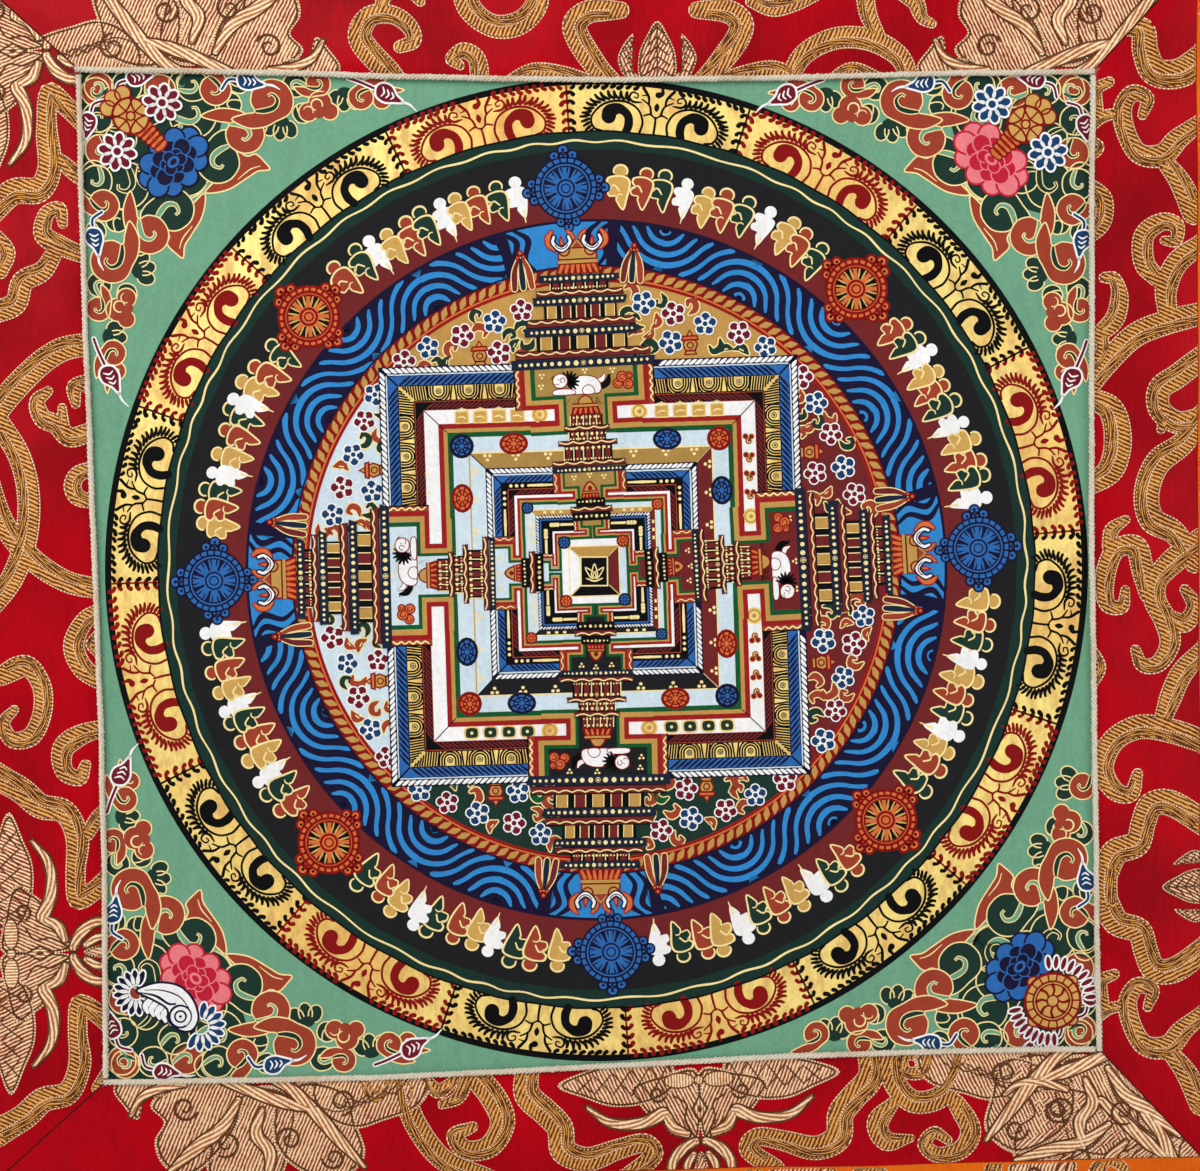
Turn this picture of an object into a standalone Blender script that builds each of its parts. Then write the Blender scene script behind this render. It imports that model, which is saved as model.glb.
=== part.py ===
"""Thangka scroll painting: a painted canvas in mitred strips of red brocade, with an orange outer border.

It hangs straight down and faces -Y, with +X to the right and +Z up. The origin is the middle of its top edge.
Every cloth piece is one closed sheet on the same hanging relief, so the pieces meet along their seams with a
small gap. Four lengths of cord lie over the seam between the canvas and the brocade.
"""

import math

import bmesh
import bpy

MM = 0.001

# Corners as (x, z) in millimetres, clockwise from the top left: the canvas opening, the seam between the red
# brocade and the outer strips, and the outer edge.
OPENING = ((-150.5, -49.1), (152.7, -49.8), (154.7, -342.0), (-142.4, -351.9))
BROCADE_SEAM = ((-185.4, -17.9), (184.5, -15.2), (186.0, -374.9), (-175.8, -382.1))
OUTER_EDGE = ((-201.9, -0.3), (202.2, 0.3), (202.8, -392.3), (-193.2, -399.8))
SIDES = ("top", "right", "bottom", "left")

# How far each side bows inwards between its corners: half a wave, a whole wave and one and a half waves.
OPENING_BOW = {
    "top": (2.4, 0.0, -0.3),
    "right": (1.2, 0.15, 0.0),
    "bottom": (-0.1, 1.2, 0.0),
    "left": (1.0, 0.6, 0.0),
}
BROCADE_BOW = {
    "top": (0.4, 0.0, 0.0),
    "right": (0.3, 0.2, 0.0),
    "bottom": (-0.5, 0.0, 0.0),
    "left": (0.6, -0.4, 0.0),
}
OUTER_BOW = {
    "top": (0.3, 0.1, 0.0),
    "right": (0.5, -0.4, 0.0),
    "bottom": (-0.7, 0.5, 0.0),
    "left": (0.5, 0.5, 0.0),
}

GAP = 0.3
CANVAS_THICK = 1.0
BROCADE_THICK = 1.2
STRIP_THICK = 1.6
CORD_DIAMETER = 1.9

SEAM_CELLS = 22
SEAM_CROWDING = 0.6
BROCADE_ROWS = (0.0, 0.12, 0.34, 0.66, 0.88, 1.0)
STRIP_ROWS = (0.0, 0.25, 0.75, 1.0)

# Linear base colour, roughness.
CANVAS_FINISH = ("painted_canvas", (0.30, 0.22, 0.12), 0.75)
BROCADE_FINISH = ("red_brocade", (0.55, 0.01, 0.02), 0.45)
STRIP_FINISH = ("orange_brocade", (0.85, 0.25, 0.02), 0.45)
CORD_FINISH = ("cotton_cord", (0.72, 0.64, 0.50), 0.9)


def along(corners, bows, side, t):
    """The point at share t of a bowed side, from its first corner clockwise, as (x, z)."""
    i = SIDES.index(side)
    ax, az = corners[i]
    bx, bz = corners[(i + 1) % 4]
    dx, dz = bx - ax, bz - az
    length = math.hypot(dx, dz)
    half, whole, third = bows[side]
    bow = sum(b * math.sin(math.pi * k * t) for k, b in ((1, half), (2, whole), (3, third)))
    return ax + dx * t + bow * dz / length, az + dz * t - bow * dx / length


def beyond(corners, bows, side, x, z):
    """How far (x, z) lies outside a bowed side."""
    i = SIDES.index(side)
    ax, az = corners[i]
    bx, bz = corners[(i + 1) % 4]
    dx, dz = bx - ax, bz - az
    length = math.hypot(dx, dz)
    t = min(max(((x - ax) * dx + (z - az) * dz) / length**2, 0.0), 1.0)
    half, whole, third = bows[side]
    bow = sum(b * math.sin(math.pi * k * t) for k, b in ((1, half), (2, whole), (3, third)))
    return ((z - az) * dx - (x - ax) * dz) / length + bow


def outside(corners, bows, x, z):
    return max(beyond(corners, bows, side, x, z) for side in SIDES)


def to_mitre(x, z):
    """Distance to the nearest mitre seam, which runs from an opening corner to a brocade corner."""
    nearest = 1000.0
    for (ax, az), (bx, bz) in zip(OPENING, BROCADE_SEAM):
        dx, dz = bx - ax, bz - az
        t = min(max(((x - ax) * dx + (z - az) * dz) / (dx * dx + dz * dz), 0.0), 1.0)
        nearest = min(nearest, math.hypot(x - ax - dx * t, z - az - dz * t))
    return nearest


def relief(x, z):
    """How far the hanging cloth stands towards the viewer at (x, z), in millimetres."""
    slack = 0.5 * math.sin(x / 47 + 0.6) * math.sin(z / 61 + 0.3)
    past_cord = outside(OPENING, OPENING_BOW, x, z)
    if past_cord <= 0:
        return slack
    past_seam = outside(BROCADE_SEAM, BROCADE_BOW, x, z)
    on_brocade = min(past_cord / 12, 1.0)
    roll = 0.8 * (past_cord / 9) * math.exp(1 - past_cord / 9)
    waves = 0.7 * math.sin(x / 11.5 + z / 31) * math.sin(z / 13 - x / 37 + 1.0)
    mitre_dip = 0.8 * math.exp(-((to_mitre(x, z) / 3.5) ** 2))
    seam_dip = 0.7 * math.exp(-((past_seam / 3.5) ** 2))
    return slack + roll + on_brocade * (waves - mitre_dip - seam_dip)


def crowded(count):
    """Shares from 0 to 1, closer together towards both ends."""
    even = [i / count for i in range(count + 1)]
    return [e + SEAM_CROWDING * (0.5 - 0.5 * math.cos(math.pi * e) - e) for e in even]


def inset(shares, margin):
    return [margin + share * (1 - 2 * margin) for share in shares]


def finish(name, colour, roughness):
    material = bpy.data.materials.get(name) or bpy.data.materials.new(name)
    material.use_nodes = True
    shader = material.node_tree.nodes["Principled BSDF"]
    shader.inputs["Base Color"].default_value = (*colour, 1.0)
    shader.inputs["Roughness"].default_value = roughness
    shader.inputs["Metallic"].default_value = 0.0
    return material


def sheet(name, rows, thick, look):
    """One closed sheet from rows of (x, z) points, its middle on the hanging relief."""
    bm = bmesh.new()
    grid = [
        [bm.verts.new((x * MM, (-relief(x, z) - thick / 2) * MM, z * MM)) for x, z in row]
        for row in rows
    ]
    front = []
    for upper, lower in zip(grid, grid[1:]):
        for i in range(len(upper) - 1):
            front.append(bm.faces.new((upper[i], lower[i], lower[i + 1], upper[i + 1])))
    back = bmesh.ops.extrude_face_region(bm, geom=front, use_keep_orig=True)
    moved = [v for v in back["geom"] if isinstance(v, bmesh.types.BMVert)]
    bmesh.ops.translate(bm, verts=moved, vec=(0.0, thick * MM, 0.0))
    bmesh.ops.recalc_face_normals(bm, faces=bm.faces)
    mesh = bpy.data.meshes.new(name)
    bm.to_mesh(mesh)
    bm.free()
    mesh.shade_smooth()
    mesh.set_sharp_from_angle(angle=math.radians(40))
    mesh.materials.append(finish(*look))
    piece = bpy.data.objects.new(name, mesh)
    bpy.context.collection.objects.link(piece)


def canvas():
    """The painted canvas fills the opening: its grid blends the four bowed sides."""
    width = math.dist(OPENING[0], OPENING[1])
    height = math.dist(OPENING[0], OPENING[3])
    across = inset(crowded(SEAM_CELLS), GAP / 2 / width)
    down = inset(crowded(SEAM_CELLS), GAP / 2 / height)
    rows = []
    for v in down:
        row = []
        for u in across:
            top = along(OPENING, OPENING_BOW, "top", u)
            bottom = along(OPENING, OPENING_BOW, "bottom", 1 - u)
            right = along(OPENING, OPENING_BOW, "right", v)
            left = along(OPENING, OPENING_BOW, "left", 1 - v)
            point = []
            for k in range(2):
                sides = (1 - v) * top[k] + v * bottom[k] + (1 - u) * left[k] + u * right[k]
                corners = (
                    (1 - u) * (1 - v) * OPENING[0][k]
                    + u * (1 - v) * OPENING[1][k]
                    + u * v * OPENING[2][k]
                    + (1 - u) * v * OPENING[3][k]
                )
                point.append(sides - corners)
            row.append(point)
        rows.append(row)
    sheet("painting_canvas", rows, CANVAS_THICK, CANVAS_FINISH)


def strip(name, side, inner, outer, shares, thick, look):
    """A mitred strip between two bowed seams. inner and outer are (corners, bows)."""
    i = SIDES.index(side)
    length = math.dist(inner[0][i], inner[0][(i + 1) % 4])
    width = beyond(*inner, side, *along(*outer, side, 0.5))
    mitre_gap = GAP / 2 * math.sqrt(2)
    rows = []
    for t in inset(shares, GAP / 2 / width):
        row = []
        for s in inset(crowded(SEAM_CELLS), mitre_gap / length):
            near = along(*inner, side, s)
            far = along(*outer, side, s)
            row.append([near[k] + t * (far[k] - near[k]) for k in range(2)])
        rows.append(row)
    sheet(name, rows, thick, look)


def cord(side, start, end):
    """A length of cord over the opening's seam, from start to end in millimetres past its two corners."""
    i = SIDES.index(side)
    length = math.dist(OPENING[i], OPENING[(i + 1) % 4])
    curve = bpy.data.curves.new("cord_" + side, "CURVE")
    curve.dimensions = "3D"
    curve.bevel_depth = CORD_DIAMETER / 2 * MM
    curve.bevel_resolution = 2
    curve.use_fill_caps = True
    spline = curve.splines.new("POLY")
    spline.points.add(SEAM_CELLS)
    shares = [-start / length, *crowded(SEAM_CELLS)[1:-1], 1 + end / length]
    for point, share in zip(spline.points, shares):
        x, z = along(OPENING, OPENING_BOW, side, share)
        y = -relief(x, z) - BROCADE_THICK / 2 - GAP - CORD_DIAMETER / 2
        point.co = (x * MM, y * MM, z * MM, 1.0)
    curve.materials.append(finish(*CORD_FINISH))
    piece = bpy.data.objects.new("cord_" + side, curve)
    bpy.context.collection.objects.link(piece)


def cords():
    """The top cord runs past both upper corners and the right cord past the lower one. The others butt."""
    past = CORD_DIAMETER / 2
    short = -(CORD_DIAMETER / 2 + GAP + 0.1)
    cord("top", past, past)
    cord("right", short, past)
    cord("bottom", short, past)
    cord("left", short, short)


def main():
    for thing in list(bpy.data.objects):
        bpy.data.objects.remove(thing)
    canvas()
    opening = (OPENING, OPENING_BOW)
    seam = (BROCADE_SEAM, BROCADE_BOW)
    edge = (OUTER_EDGE, OUTER_BOW)
    for side in SIDES:
        strip("brocade_" + side, side, opening, seam, BROCADE_ROWS, BROCADE_THICK, BROCADE_FINISH)
        strip("outer_strip_" + side, side, seam, edge, STRIP_ROWS, STRIP_THICK, STRIP_FINISH)
    cords()


main()
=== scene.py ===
"""Thangka scroll painting: a mandala painted on canvas, in red and gold brocade with an orange outer border.

The paint is modelled as thin flat shapes laid on the hanging cloth, one layer on another, as a painter lays
them: ground, large fields, motifs, outlines. Lengths are millimetres unless a name says metres. x runs to the
right and z up as seen from the front, and the front faces -Y.
"""

import math
import random

import bpy
import numpy as np
from bpy.props import FloatProperty, FloatVectorProperty, IntProperty
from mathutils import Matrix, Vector


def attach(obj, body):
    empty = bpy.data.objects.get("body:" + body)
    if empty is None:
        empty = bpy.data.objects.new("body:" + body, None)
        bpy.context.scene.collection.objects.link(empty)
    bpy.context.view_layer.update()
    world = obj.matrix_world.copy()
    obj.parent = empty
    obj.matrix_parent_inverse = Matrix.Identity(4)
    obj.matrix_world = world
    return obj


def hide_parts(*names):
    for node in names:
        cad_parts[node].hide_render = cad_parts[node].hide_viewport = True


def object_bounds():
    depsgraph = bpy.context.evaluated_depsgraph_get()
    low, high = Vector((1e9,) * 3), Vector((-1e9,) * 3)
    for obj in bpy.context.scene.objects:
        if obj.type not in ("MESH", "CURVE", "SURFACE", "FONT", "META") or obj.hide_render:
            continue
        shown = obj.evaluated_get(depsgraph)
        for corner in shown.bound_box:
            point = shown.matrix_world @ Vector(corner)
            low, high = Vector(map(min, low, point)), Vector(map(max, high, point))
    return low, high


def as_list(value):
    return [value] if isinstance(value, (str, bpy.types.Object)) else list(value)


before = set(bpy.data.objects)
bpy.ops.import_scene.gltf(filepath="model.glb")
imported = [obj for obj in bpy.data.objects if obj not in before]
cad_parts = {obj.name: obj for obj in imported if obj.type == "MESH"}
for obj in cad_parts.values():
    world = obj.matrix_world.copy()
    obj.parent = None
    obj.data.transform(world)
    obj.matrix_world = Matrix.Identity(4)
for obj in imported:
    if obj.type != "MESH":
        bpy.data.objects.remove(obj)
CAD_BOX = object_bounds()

bl_info = {
    "name": "Thangka scroll painting",
    "version": (1, 0, 0),
    "blender": (4, 5, 0),
    "location": "3D View > Sidebar > Thangka",
    "description": "Builds the painted canvas, its brocade surround, cords and outer strips",
    "category": "Object",
}

MM = 0.001
SIDES = ("top", "right", "bottom", "left")

# Corners as (x, z), clockwise from the top left, and how far each side bows in, as in the frame's solids.
OPENING = ((-150.5, -49.1), (152.7, -49.8), (154.7, -342.0), (-142.4, -351.9))
BROCADE_SEAM = ((-185.4, -17.9), (184.5, -15.2), (186.0, -374.9), (-175.8, -382.1))
OUTER_EDGE = ((-201.9, -0.3), (202.2, 0.3), (202.8, -392.3), (-193.2, -399.8))
OPENING_BOW = ((2.4, 0.0, -0.3), (1.2, 0.15, 0.0), (-0.1, 1.2, 0.0), (1.0, 0.6, 0.0))
BROCADE_BOW = ((0.4, 0.0, 0.0), (0.3, 0.2, 0.0), (-0.5, 0.0, 0.0), (0.6, -0.4, 0.0))
OUTER_BOW = ((0.3, 0.1, 0.0), (0.5, -0.4, 0.0), (-0.7, 0.5, 0.0), (0.5, 0.5, 0.0))
CANVAS_THICK = 1.0
BROCADE_THICK = 1.2
STRIP_THICK = 1.6
CORD_DIAMETER = 1.9
GAP = 0.3

# How far one layer of paint or of brocade thread stands over the last.
PAINT_LAYER = 0.012
WEAVE_LAYER = 0.05
# Twice the area, in square millimetres, under which a cell is left out.
LEAST_CELL = 0.004


# ---------------------------------------------------------------- seams and the hanging relief


def bow_at(bow, t):
    return sum(b * np.sin(np.pi * k * t) for k, b in enumerate(bow, 1))


def along(corners, bows, side, t):
    """Points at shares t of a bowed side, from its first corner clockwise."""
    a = np.array(corners[side])
    d = np.array(corners[(side + 1) % 4]) - a
    out = np.array([d[1], -d[0]]) / math.hypot(*d)
    t = np.asarray(t, float)[..., None]
    return a + d * t + out * bow_at(bows[side], t)


def beyond(corners, bows, side, p):
    """How far each point lies outside a bowed side."""
    a = np.array(corners[side])
    d = np.array(corners[(side + 1) % 4]) - a
    length = math.hypot(*d)
    q = p - a
    t = np.clip(q @ d / length**2, 0, 1)
    return (q[..., 1] * d[0] - q[..., 0] * d[1]) / length + bow_at(bows[side], t)


def outside(corners, bows, p):
    return np.max([beyond(corners, bows, side, p) for side in range(4)], axis=0)


def to_mitre(p):
    """Distance from each point to the nearest mitre seam."""
    found = []
    for inner, outer in zip(OPENING, BROCADE_SEAM):
        a = np.array(inner)
        d = np.array(outer) - a
        t = np.clip((p - a) @ d / (d @ d), 0, 1)[..., None]
        found.append(np.linalg.norm(p - a - d * t, axis=-1))
    return np.min(found, axis=0)


def relief(p):
    """How far the hanging cloth stands towards the viewer at each point, as in the frame's solids."""
    x, z = p[..., 0], p[..., 1]
    slack = 0.5 * np.sin(x / 47 + 0.6) * np.sin(z / 61 + 0.3)
    past_cord = np.maximum(outside(OPENING, OPENING_BOW, p), 0)
    past_seam = outside(BROCADE_SEAM, BROCADE_BOW, p)
    on_brocade = np.minimum(past_cord / 12, 1)
    roll = 0.8 * (past_cord / 9) * np.exp(1 - past_cord / 9)
    waves = 0.7 * np.sin(x / 11.5 + z / 31) * np.sin(z / 13 - x / 37 + 1.0)
    mitre_dip = 0.8 * np.exp(-((to_mitre(p) / 3.5) ** 2))
    seam_dip = 0.7 * np.exp(-((past_seam / 3.5) ** 2))
    return slack + roll + on_brocade * (waves - mitre_dip - seam_dip)


def on_cloth(p, lift):
    """Points in metres on the cloth's relief, lifted towards the viewer."""
    p = np.asarray(p, float)
    return np.stack([p[:, 0], -relief(p) - lift, p[:, 1]], 1) * MM


# ---------------------------------------------------------------- drawing flat shapes


def arc(radius, start, end, step=6.0, x=0.0, z=0.0):
    """Points on an arc, in degrees, anticlockwise if end is past start."""
    count = max(2, int(abs(end - start) / step) + 1)
    a = np.radians(np.linspace(start, end, count))
    return np.stack([x + radius * np.cos(a), z + radius * np.sin(a)], 1)


def oval(width, height, x=0.0, z=0.0, turn=0.0, points=14):
    """Points on an ellipse, turned anticlockwise in degrees."""
    a = np.linspace(0, 2 * math.pi, points, endpoint=False)
    p = np.stack([np.cos(a) * width / 2, np.sin(a) * height / 2], 1)
    c, s = math.cos(math.radians(turn)), math.sin(math.radians(turn))
    return p @ np.array([[c, s], [-s, c]]) + (x, z)


def box(left, bottom, right, top):
    return np.array([(left, bottom), (right, bottom), (right, top), (left, top)], float)


def smooth(points, steps=5, closed=False):
    """A soft line through a few points."""
    p = np.array(points, float)
    if closed:
        p = np.vstack([p[-1], p, p[:2]])
    else:
        p = np.vstack([2 * p[0] - p[1], p, 2 * p[-1] - p[-2]])
    t = np.linspace(0, 1, steps, endpoint=False)[:, None]
    parts = []
    for a, b, c, d in zip(p, p[1:], p[2:], p[3:]):
        square, cube = 2 * a - 5 * b + 4 * c - d, 3 * b - a - 3 * c + d
        parts.append(0.5 * (2 * b + (c - a) * t + square * t**2 + cube * t**3))
    out = np.vstack(parts)
    return out if closed else np.vstack([out, p[-2]])


def evened(route, step, closed=False):
    """The route with points added so that no stretch is longer than step."""
    p = np.asarray(route, float)
    if closed:
        p = np.vstack([p, p[:1]])
    out = [p[:1]]
    for a, b in zip(p, p[1:]):
        cuts = max(1, math.ceil(np.linalg.norm(b - a) / step))
        out.append(a + (b - a) * np.linspace(0, 1, cuts + 1)[1:, None])
    out = np.vstack(out)
    return out[:-1] if closed else out


def lengths(route):
    """How far along a route each of its points lies."""
    return np.concatenate([[0], np.cumsum(np.linalg.norm(np.diff(route, axis=0), axis=1))])


def spaced(route, widths):
    """A few widths spread evenly along a route, one for each of its points."""
    far = lengths(route)
    return np.interp(far / far[-1], np.linspace(0, 1, len(widths)), widths)


def grid_faces(rows, columns):
    """Four-sided faces between the points of a grid that is stored row by row."""
    starts = [j * columns + i for j in range(rows - 1) for i in range(columns - 1)]
    return [[k, k + 1, k + columns + 1, k + columns] for k in starts]


def halves(easel):
    """The right half of a frame, then its mirror image."""
    return easel.moved(), easel.moved(flip=True)


def new_object(name, data):
    ob = bpy.data.objects.new(name, data)
    bpy.context.collection.objects.link(ob)
    return ob


def twice_area(outline):
    """Twice the area that an outline encloses, less than nothing if it runs clockwise."""
    following = np.roll(outline, -1, axis=0)
    return np.sum(outline[:, 0] * following[:, 1] - outline[:, 1] * following[:, 0])


class Easel:
    """Collects flat shapes for one piece. An easel made from another draws into the same piece."""

    def __init__(self, place=None, store=None):
        self.place = place or (lambda p: p)
        self.store = store or {"points": [], "uv": [], "lift": [], "faces": [], "paints": [], "count": 0}

    def moved(self, x=0.0, z=0.0, turn=0.0, size=1.0, flip=False):
        """A local frame: flipped left to right, scaled, turned anticlockwise in degrees, then moved."""
        c, s = math.cos(math.radians(turn)), math.sin(math.radians(turn))
        scale = np.array([-size if flip else size, size])
        rotation = np.array([[c, s], [-s, c]])
        return Easel(lambda p: self.place((p * scale) @ rotation + (x, z)), self.store)

    def bent(self, angle, radius, flip=False):
        """A local frame wrapped round a circle: x runs clockwise round it and z outwards from radius."""

        def place(p):
            a = math.radians(angle) - (-p[:, 0] if flip else p[:, 0]) / radius
            r = radius + p[:, 1]
            return self.place(np.stack([r * np.cos(a), r * np.sin(a)], 1))

        return Easel(place, self.store)

    def add(self, points, faces, paint, layer, uv=None):
        """Stores a shape's points and faces, all turned to face the viewer."""
        points = np.asarray(points, float)
        spots = self.place(points)
        area = twice_area(spots[list(faces[0])])
        store = self.store
        start = store["count"]
        for face in faces:
            face = face if area > 0 else face[::-1]
            store["faces"].append([start + k for k in face])
            store["paints"].append(paint)
        store["points"].append(spots)
        store["uv"].append(points if uv is None else uv)
        store["lift"].append(np.full(len(points), float(layer)))
        store["count"] += len(points)

    def fill(self, outline, paint, layer):
        """One small flat shape."""
        outline = np.asarray(outline, float)
        self.add(outline, [list(range(len(outline)))], paint, layer)

    def field(self, corners, paint, layer, step=4.0):
        """A large four-sided shape in cells small enough to follow the cloth."""
        a, b, c, d = np.asarray(corners, float)
        across = max(1, math.ceil(max(np.linalg.norm(b - a), np.linalg.norm(c - d)) / step))
        up = max(1, math.ceil(max(np.linalg.norm(d - a), np.linalg.norm(c - b)) / step))
        u = np.linspace(0, 1, across + 1)[None, :, None]
        v = np.linspace(0, 1, up + 1)[:, None, None]
        grid = (a * (1 - u) + b * u) * (1 - v) + (d * (1 - u) + c * u) * v
        self.cells(grid, paint, layer)

    def cells(self, grid, paint, layer, uv=None):
        flat_uv = None if uv is None else uv.reshape(-1, 2)
        self.add(grid.reshape(-1, 2), grid_faces(*grid.shape[:2]), paint, layer, flat_uv)

    def ring(self, inner, outer, paint, layer, start=0.0, end=360.0, step=2.5):
        """A ring or a sector of one."""
        count = max(2, math.ceil(abs(end - start) / step) + 1)
        a = np.radians(np.linspace(start, end, count))[None, :]
        r = np.linspace(inner, outer, max(2, math.ceil((outer - inner) / 4) + 1))[:, None]
        self.cells(np.stack([r * np.cos(a), r * np.sin(a)], 2), paint, layer)

    def line(self, route, width, paint, layer, closed=False, step=5.0, across=1, cloth=False):
        """A line along a route. width is one number, or some spread evenly along it.

        The threads follow the line, or with cloth they keep the direction of the cloth's own threads.
        """
        p = evened(route, step, closed)
        if closed:
            p = np.vstack([p, p[:1]])
        keep = np.concatenate([[True], np.linalg.norm(np.diff(p, axis=0), axis=1) > 1e-6])
        p = p[keep]
        ahead = np.vstack([p[1:], p[1:2] if closed else 2 * p[-1:] - p[-2:-1]]) - p
        behind = p - np.vstack([p[-2:-1] if closed else 2 * p[:1] - p[1:2], p[:-1]])
        ahead /= np.linalg.norm(ahead, axis=1)[:, None]
        behind /= np.linalg.norm(behind, axis=1)[:, None]
        run = ahead + behind
        run /= np.maximum(np.linalg.norm(run, axis=1), 1e-6)[:, None]
        spread = np.clip(1 / np.maximum(np.sum(run * ahead, axis=1), 0.5), 1, 1.6)
        normal = np.stack([-run[:, 1], run[:, 0]], 1)
        far = lengths(p)
        widths = np.atleast_1d(np.asarray(width, float))
        if len(widths) == 1:
            half = np.full(len(p), widths[0] / 2)
        else:
            half = np.interp(far / max(far[-1], 1e-9), np.linspace(0, 1, len(widths)), widths) / 2
        offsets = np.linspace(-1, 1, across + 1)
        grid = p[None] + normal[None] * (half * spread)[None, :, None] * offsets[:, None, None]
        uv = np.stack(np.broadcast_arrays(far[None, :], half[None, :] * offsets[:, None]), 2)
        self.cells(grid, paint, layer, grid if cloth else uv)

    def stroke(self, points, widths, paint, layer, edge=None, rim=0.3, steps=5, across=1):
        """A soft stroke with round ends, over a wider one in the edge paint if there is one."""
        route = smooth(points, steps)
        full = spaced(route, widths)
        if edge:
            self.rounded(route, full + 2 * rim, edge, layer, across)
            layer = layer + 1
        self.rounded(route, full, paint, layer, across)

    def rounded(self, route, widths, paint, layer, across, cloth=False):
        """A line with a width at each of its points and a half round at each end."""
        self.line(route, widths, paint, layer, step=100.0, across=across, cloth=cloth)
        for end, other, width in ((route[0], route[1], widths[0]), (route[-1], route[-2], widths[-1])):
            if width > 0.25:
                turn = math.degrees(math.atan2(end[1] - other[1], end[0] - other[0]))
                self.fill(arc(width / 2, turn - 90, turn + 90, 30, *end), paint, layer)

    def dot(self, x, z, size, paint, layer, points=8):
        self.fill(oval(size, size, x, z, points=points), paint, layer)

    def disc(self, wide, tall, x, z, paint, layer, edge=None, rim=0.5, points=14):
        """An oval with an outline over its rim."""
        outline = oval(wide, tall, x, z, points=points)
        self.fill(outline, paint, layer)
        if edge:
            self.line(outline, rim, edge, layer + 1, closed=True)

    def blob(self, points, paint, layer, edge=None, rim=0.35, steps=4):
        """A soft closed shape through a few points, with an outline over its rim."""
        outline = smooth(points, steps, closed=True)
        self.fill(outline, paint, layer)
        if edge:
            self.line(outline, rim, edge, layer + 1, closed=True)


def piece(name, easel, base, layer_height, palette):
    """Makes one mesh of all that an easel holds, on the cloth whose front stands base above the relief."""
    store = easel.store
    spots = np.vstack(store["points"])
    kept, paints_kept = [], []
    for face, paint in zip(store["faces"], store["paints"]):
        if abs(twice_area(spots[face])) > LEAST_CELL:
            kept.append(face)
            paints_kept.append(paint)
    used = np.unique(np.concatenate(kept))
    renumbered = np.zeros(len(spots), int)
    renumbered[used] = np.arange(len(used))
    faces = [renumbered[face].tolist() for face in kept]
    spots = spots[used]
    lift = base + np.concatenate(store["lift"])[used] * layer_height
    uv = np.vstack(store["uv"])[used]
    mesh = bpy.data.meshes.new(name)
    mesh.from_pydata(on_cloth(spots, 0) - np.stack([0 * lift, lift * MM, 0 * lift], 1), [], faces)
    paints = sorted(set(paints_kept))
    for paint in paints:
        mesh.materials.append(palette[paint])
    index = {paint: k for k, paint in enumerate(paints)}
    mesh.polygons.foreach_set("material_index", [index[p] for p in paints_kept])
    corners = np.empty(len(mesh.loops), int)
    mesh.loops.foreach_get("vertex_index", corners)
    layer = mesh.uv_layers.new(name="Strokes")
    layer.uv.foreach_set("vector", (uv[corners] * 0.1).astype(np.float32).ravel())
    mesh.shade_smooth()
    mesh.update()
    ob = new_object(name, mesh)
    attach(ob, "root")
    return ob




# ---------------------------------------------------------------- paints, cloths and their shaders

# Name, label and colour as a painter would mix it (display values from 0 to 1).
PAINTS = (
    ("mint", "Mint ground", (0.425, 0.630, 0.515)),
    ("black", "Lamp black", (0.020, 0.020, 0.030)),
    ("charcoal", "Sky black", (0.105, 0.108, 0.118)),
    ("crimson", "Flame crimson", (0.520, 0.050, 0.050)),
    ("red", "Wall red", (0.600, 0.100, 0.110)),
    ("maroon", "Ground maroon", (0.430, 0.135, 0.140)),
    ("wine", "Petal wine", (0.430, 0.070, 0.140)),
    ("rust", "Leaf rust", (0.610, 0.240, 0.165)),
    ("orange", "Wheel orange", (0.820, 0.420, 0.220)),
    ("ochre", "Ochre", (0.740, 0.570, 0.300)),
    ("floor_ochre", "Floor ochre", (0.650, 0.515, 0.270)),
    ("tan", "Figure tan", (0.790, 0.620, 0.330)),
    ("cream", "Cream outline", (0.955, 0.870, 0.610)),
    ("white", "White", (0.940, 0.940, 0.940)),
    ("ice", "Pale blue", (0.800, 0.868, 0.910)),
    ("sky", "Wave blue", (0.185, 0.520, 0.790)),
    ("azure", "Wall blue", (0.165, 0.395, 0.670)),
    ("navy", "Wave navy", (0.085, 0.065, 0.190)),
    ("beam", "Beam navy", (0.090, 0.140, 0.220)),
    ("blue", "Petal blue", (0.085, 0.235, 0.400)),
    ("green", "Wall green", (0.050, 0.330, 0.170)),
    ("forest", "Leaf green", (0.100, 0.205, 0.170)),
    ("pine", "Ring green", (0.085, 0.190, 0.165)),
    ("pink", "Peony pink", (0.900, 0.480, 0.510)),
    ("rose", "Peony rose", (0.740, 0.110, 0.210)),
)
CLOTHS = (
    ("satin", "Red satin", (0.715, 0.000, 0.070)),
    ("scroll", "Woven gold", (0.930, 0.660, 0.330)),
    ("scroll_shade", "Gold shade", (0.340, 0.120, 0.030)),
    ("motif", "Woven pale gold", (1.000, 0.850, 0.660)),
    ("motif_shade", "Pale gold shade", (0.520, 0.150, 0.080)),
    ("picot", "Cream edge thread", (1.000, 0.890, 0.720)),
    ("strip", "Orange satin", (0.900, 0.440, 0.060)),
    ("cotton", "Cotton cord", (0.930, 0.885, 0.800)),
    ("canvas", "Bare canvas", (0.820, 0.770, 0.670)),
)


def linear(colour):
    return tuple(c / 12.92 if c <= 0.04045 else ((c + 0.055) / 1.055) ** 2.4 for c in colour)


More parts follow.
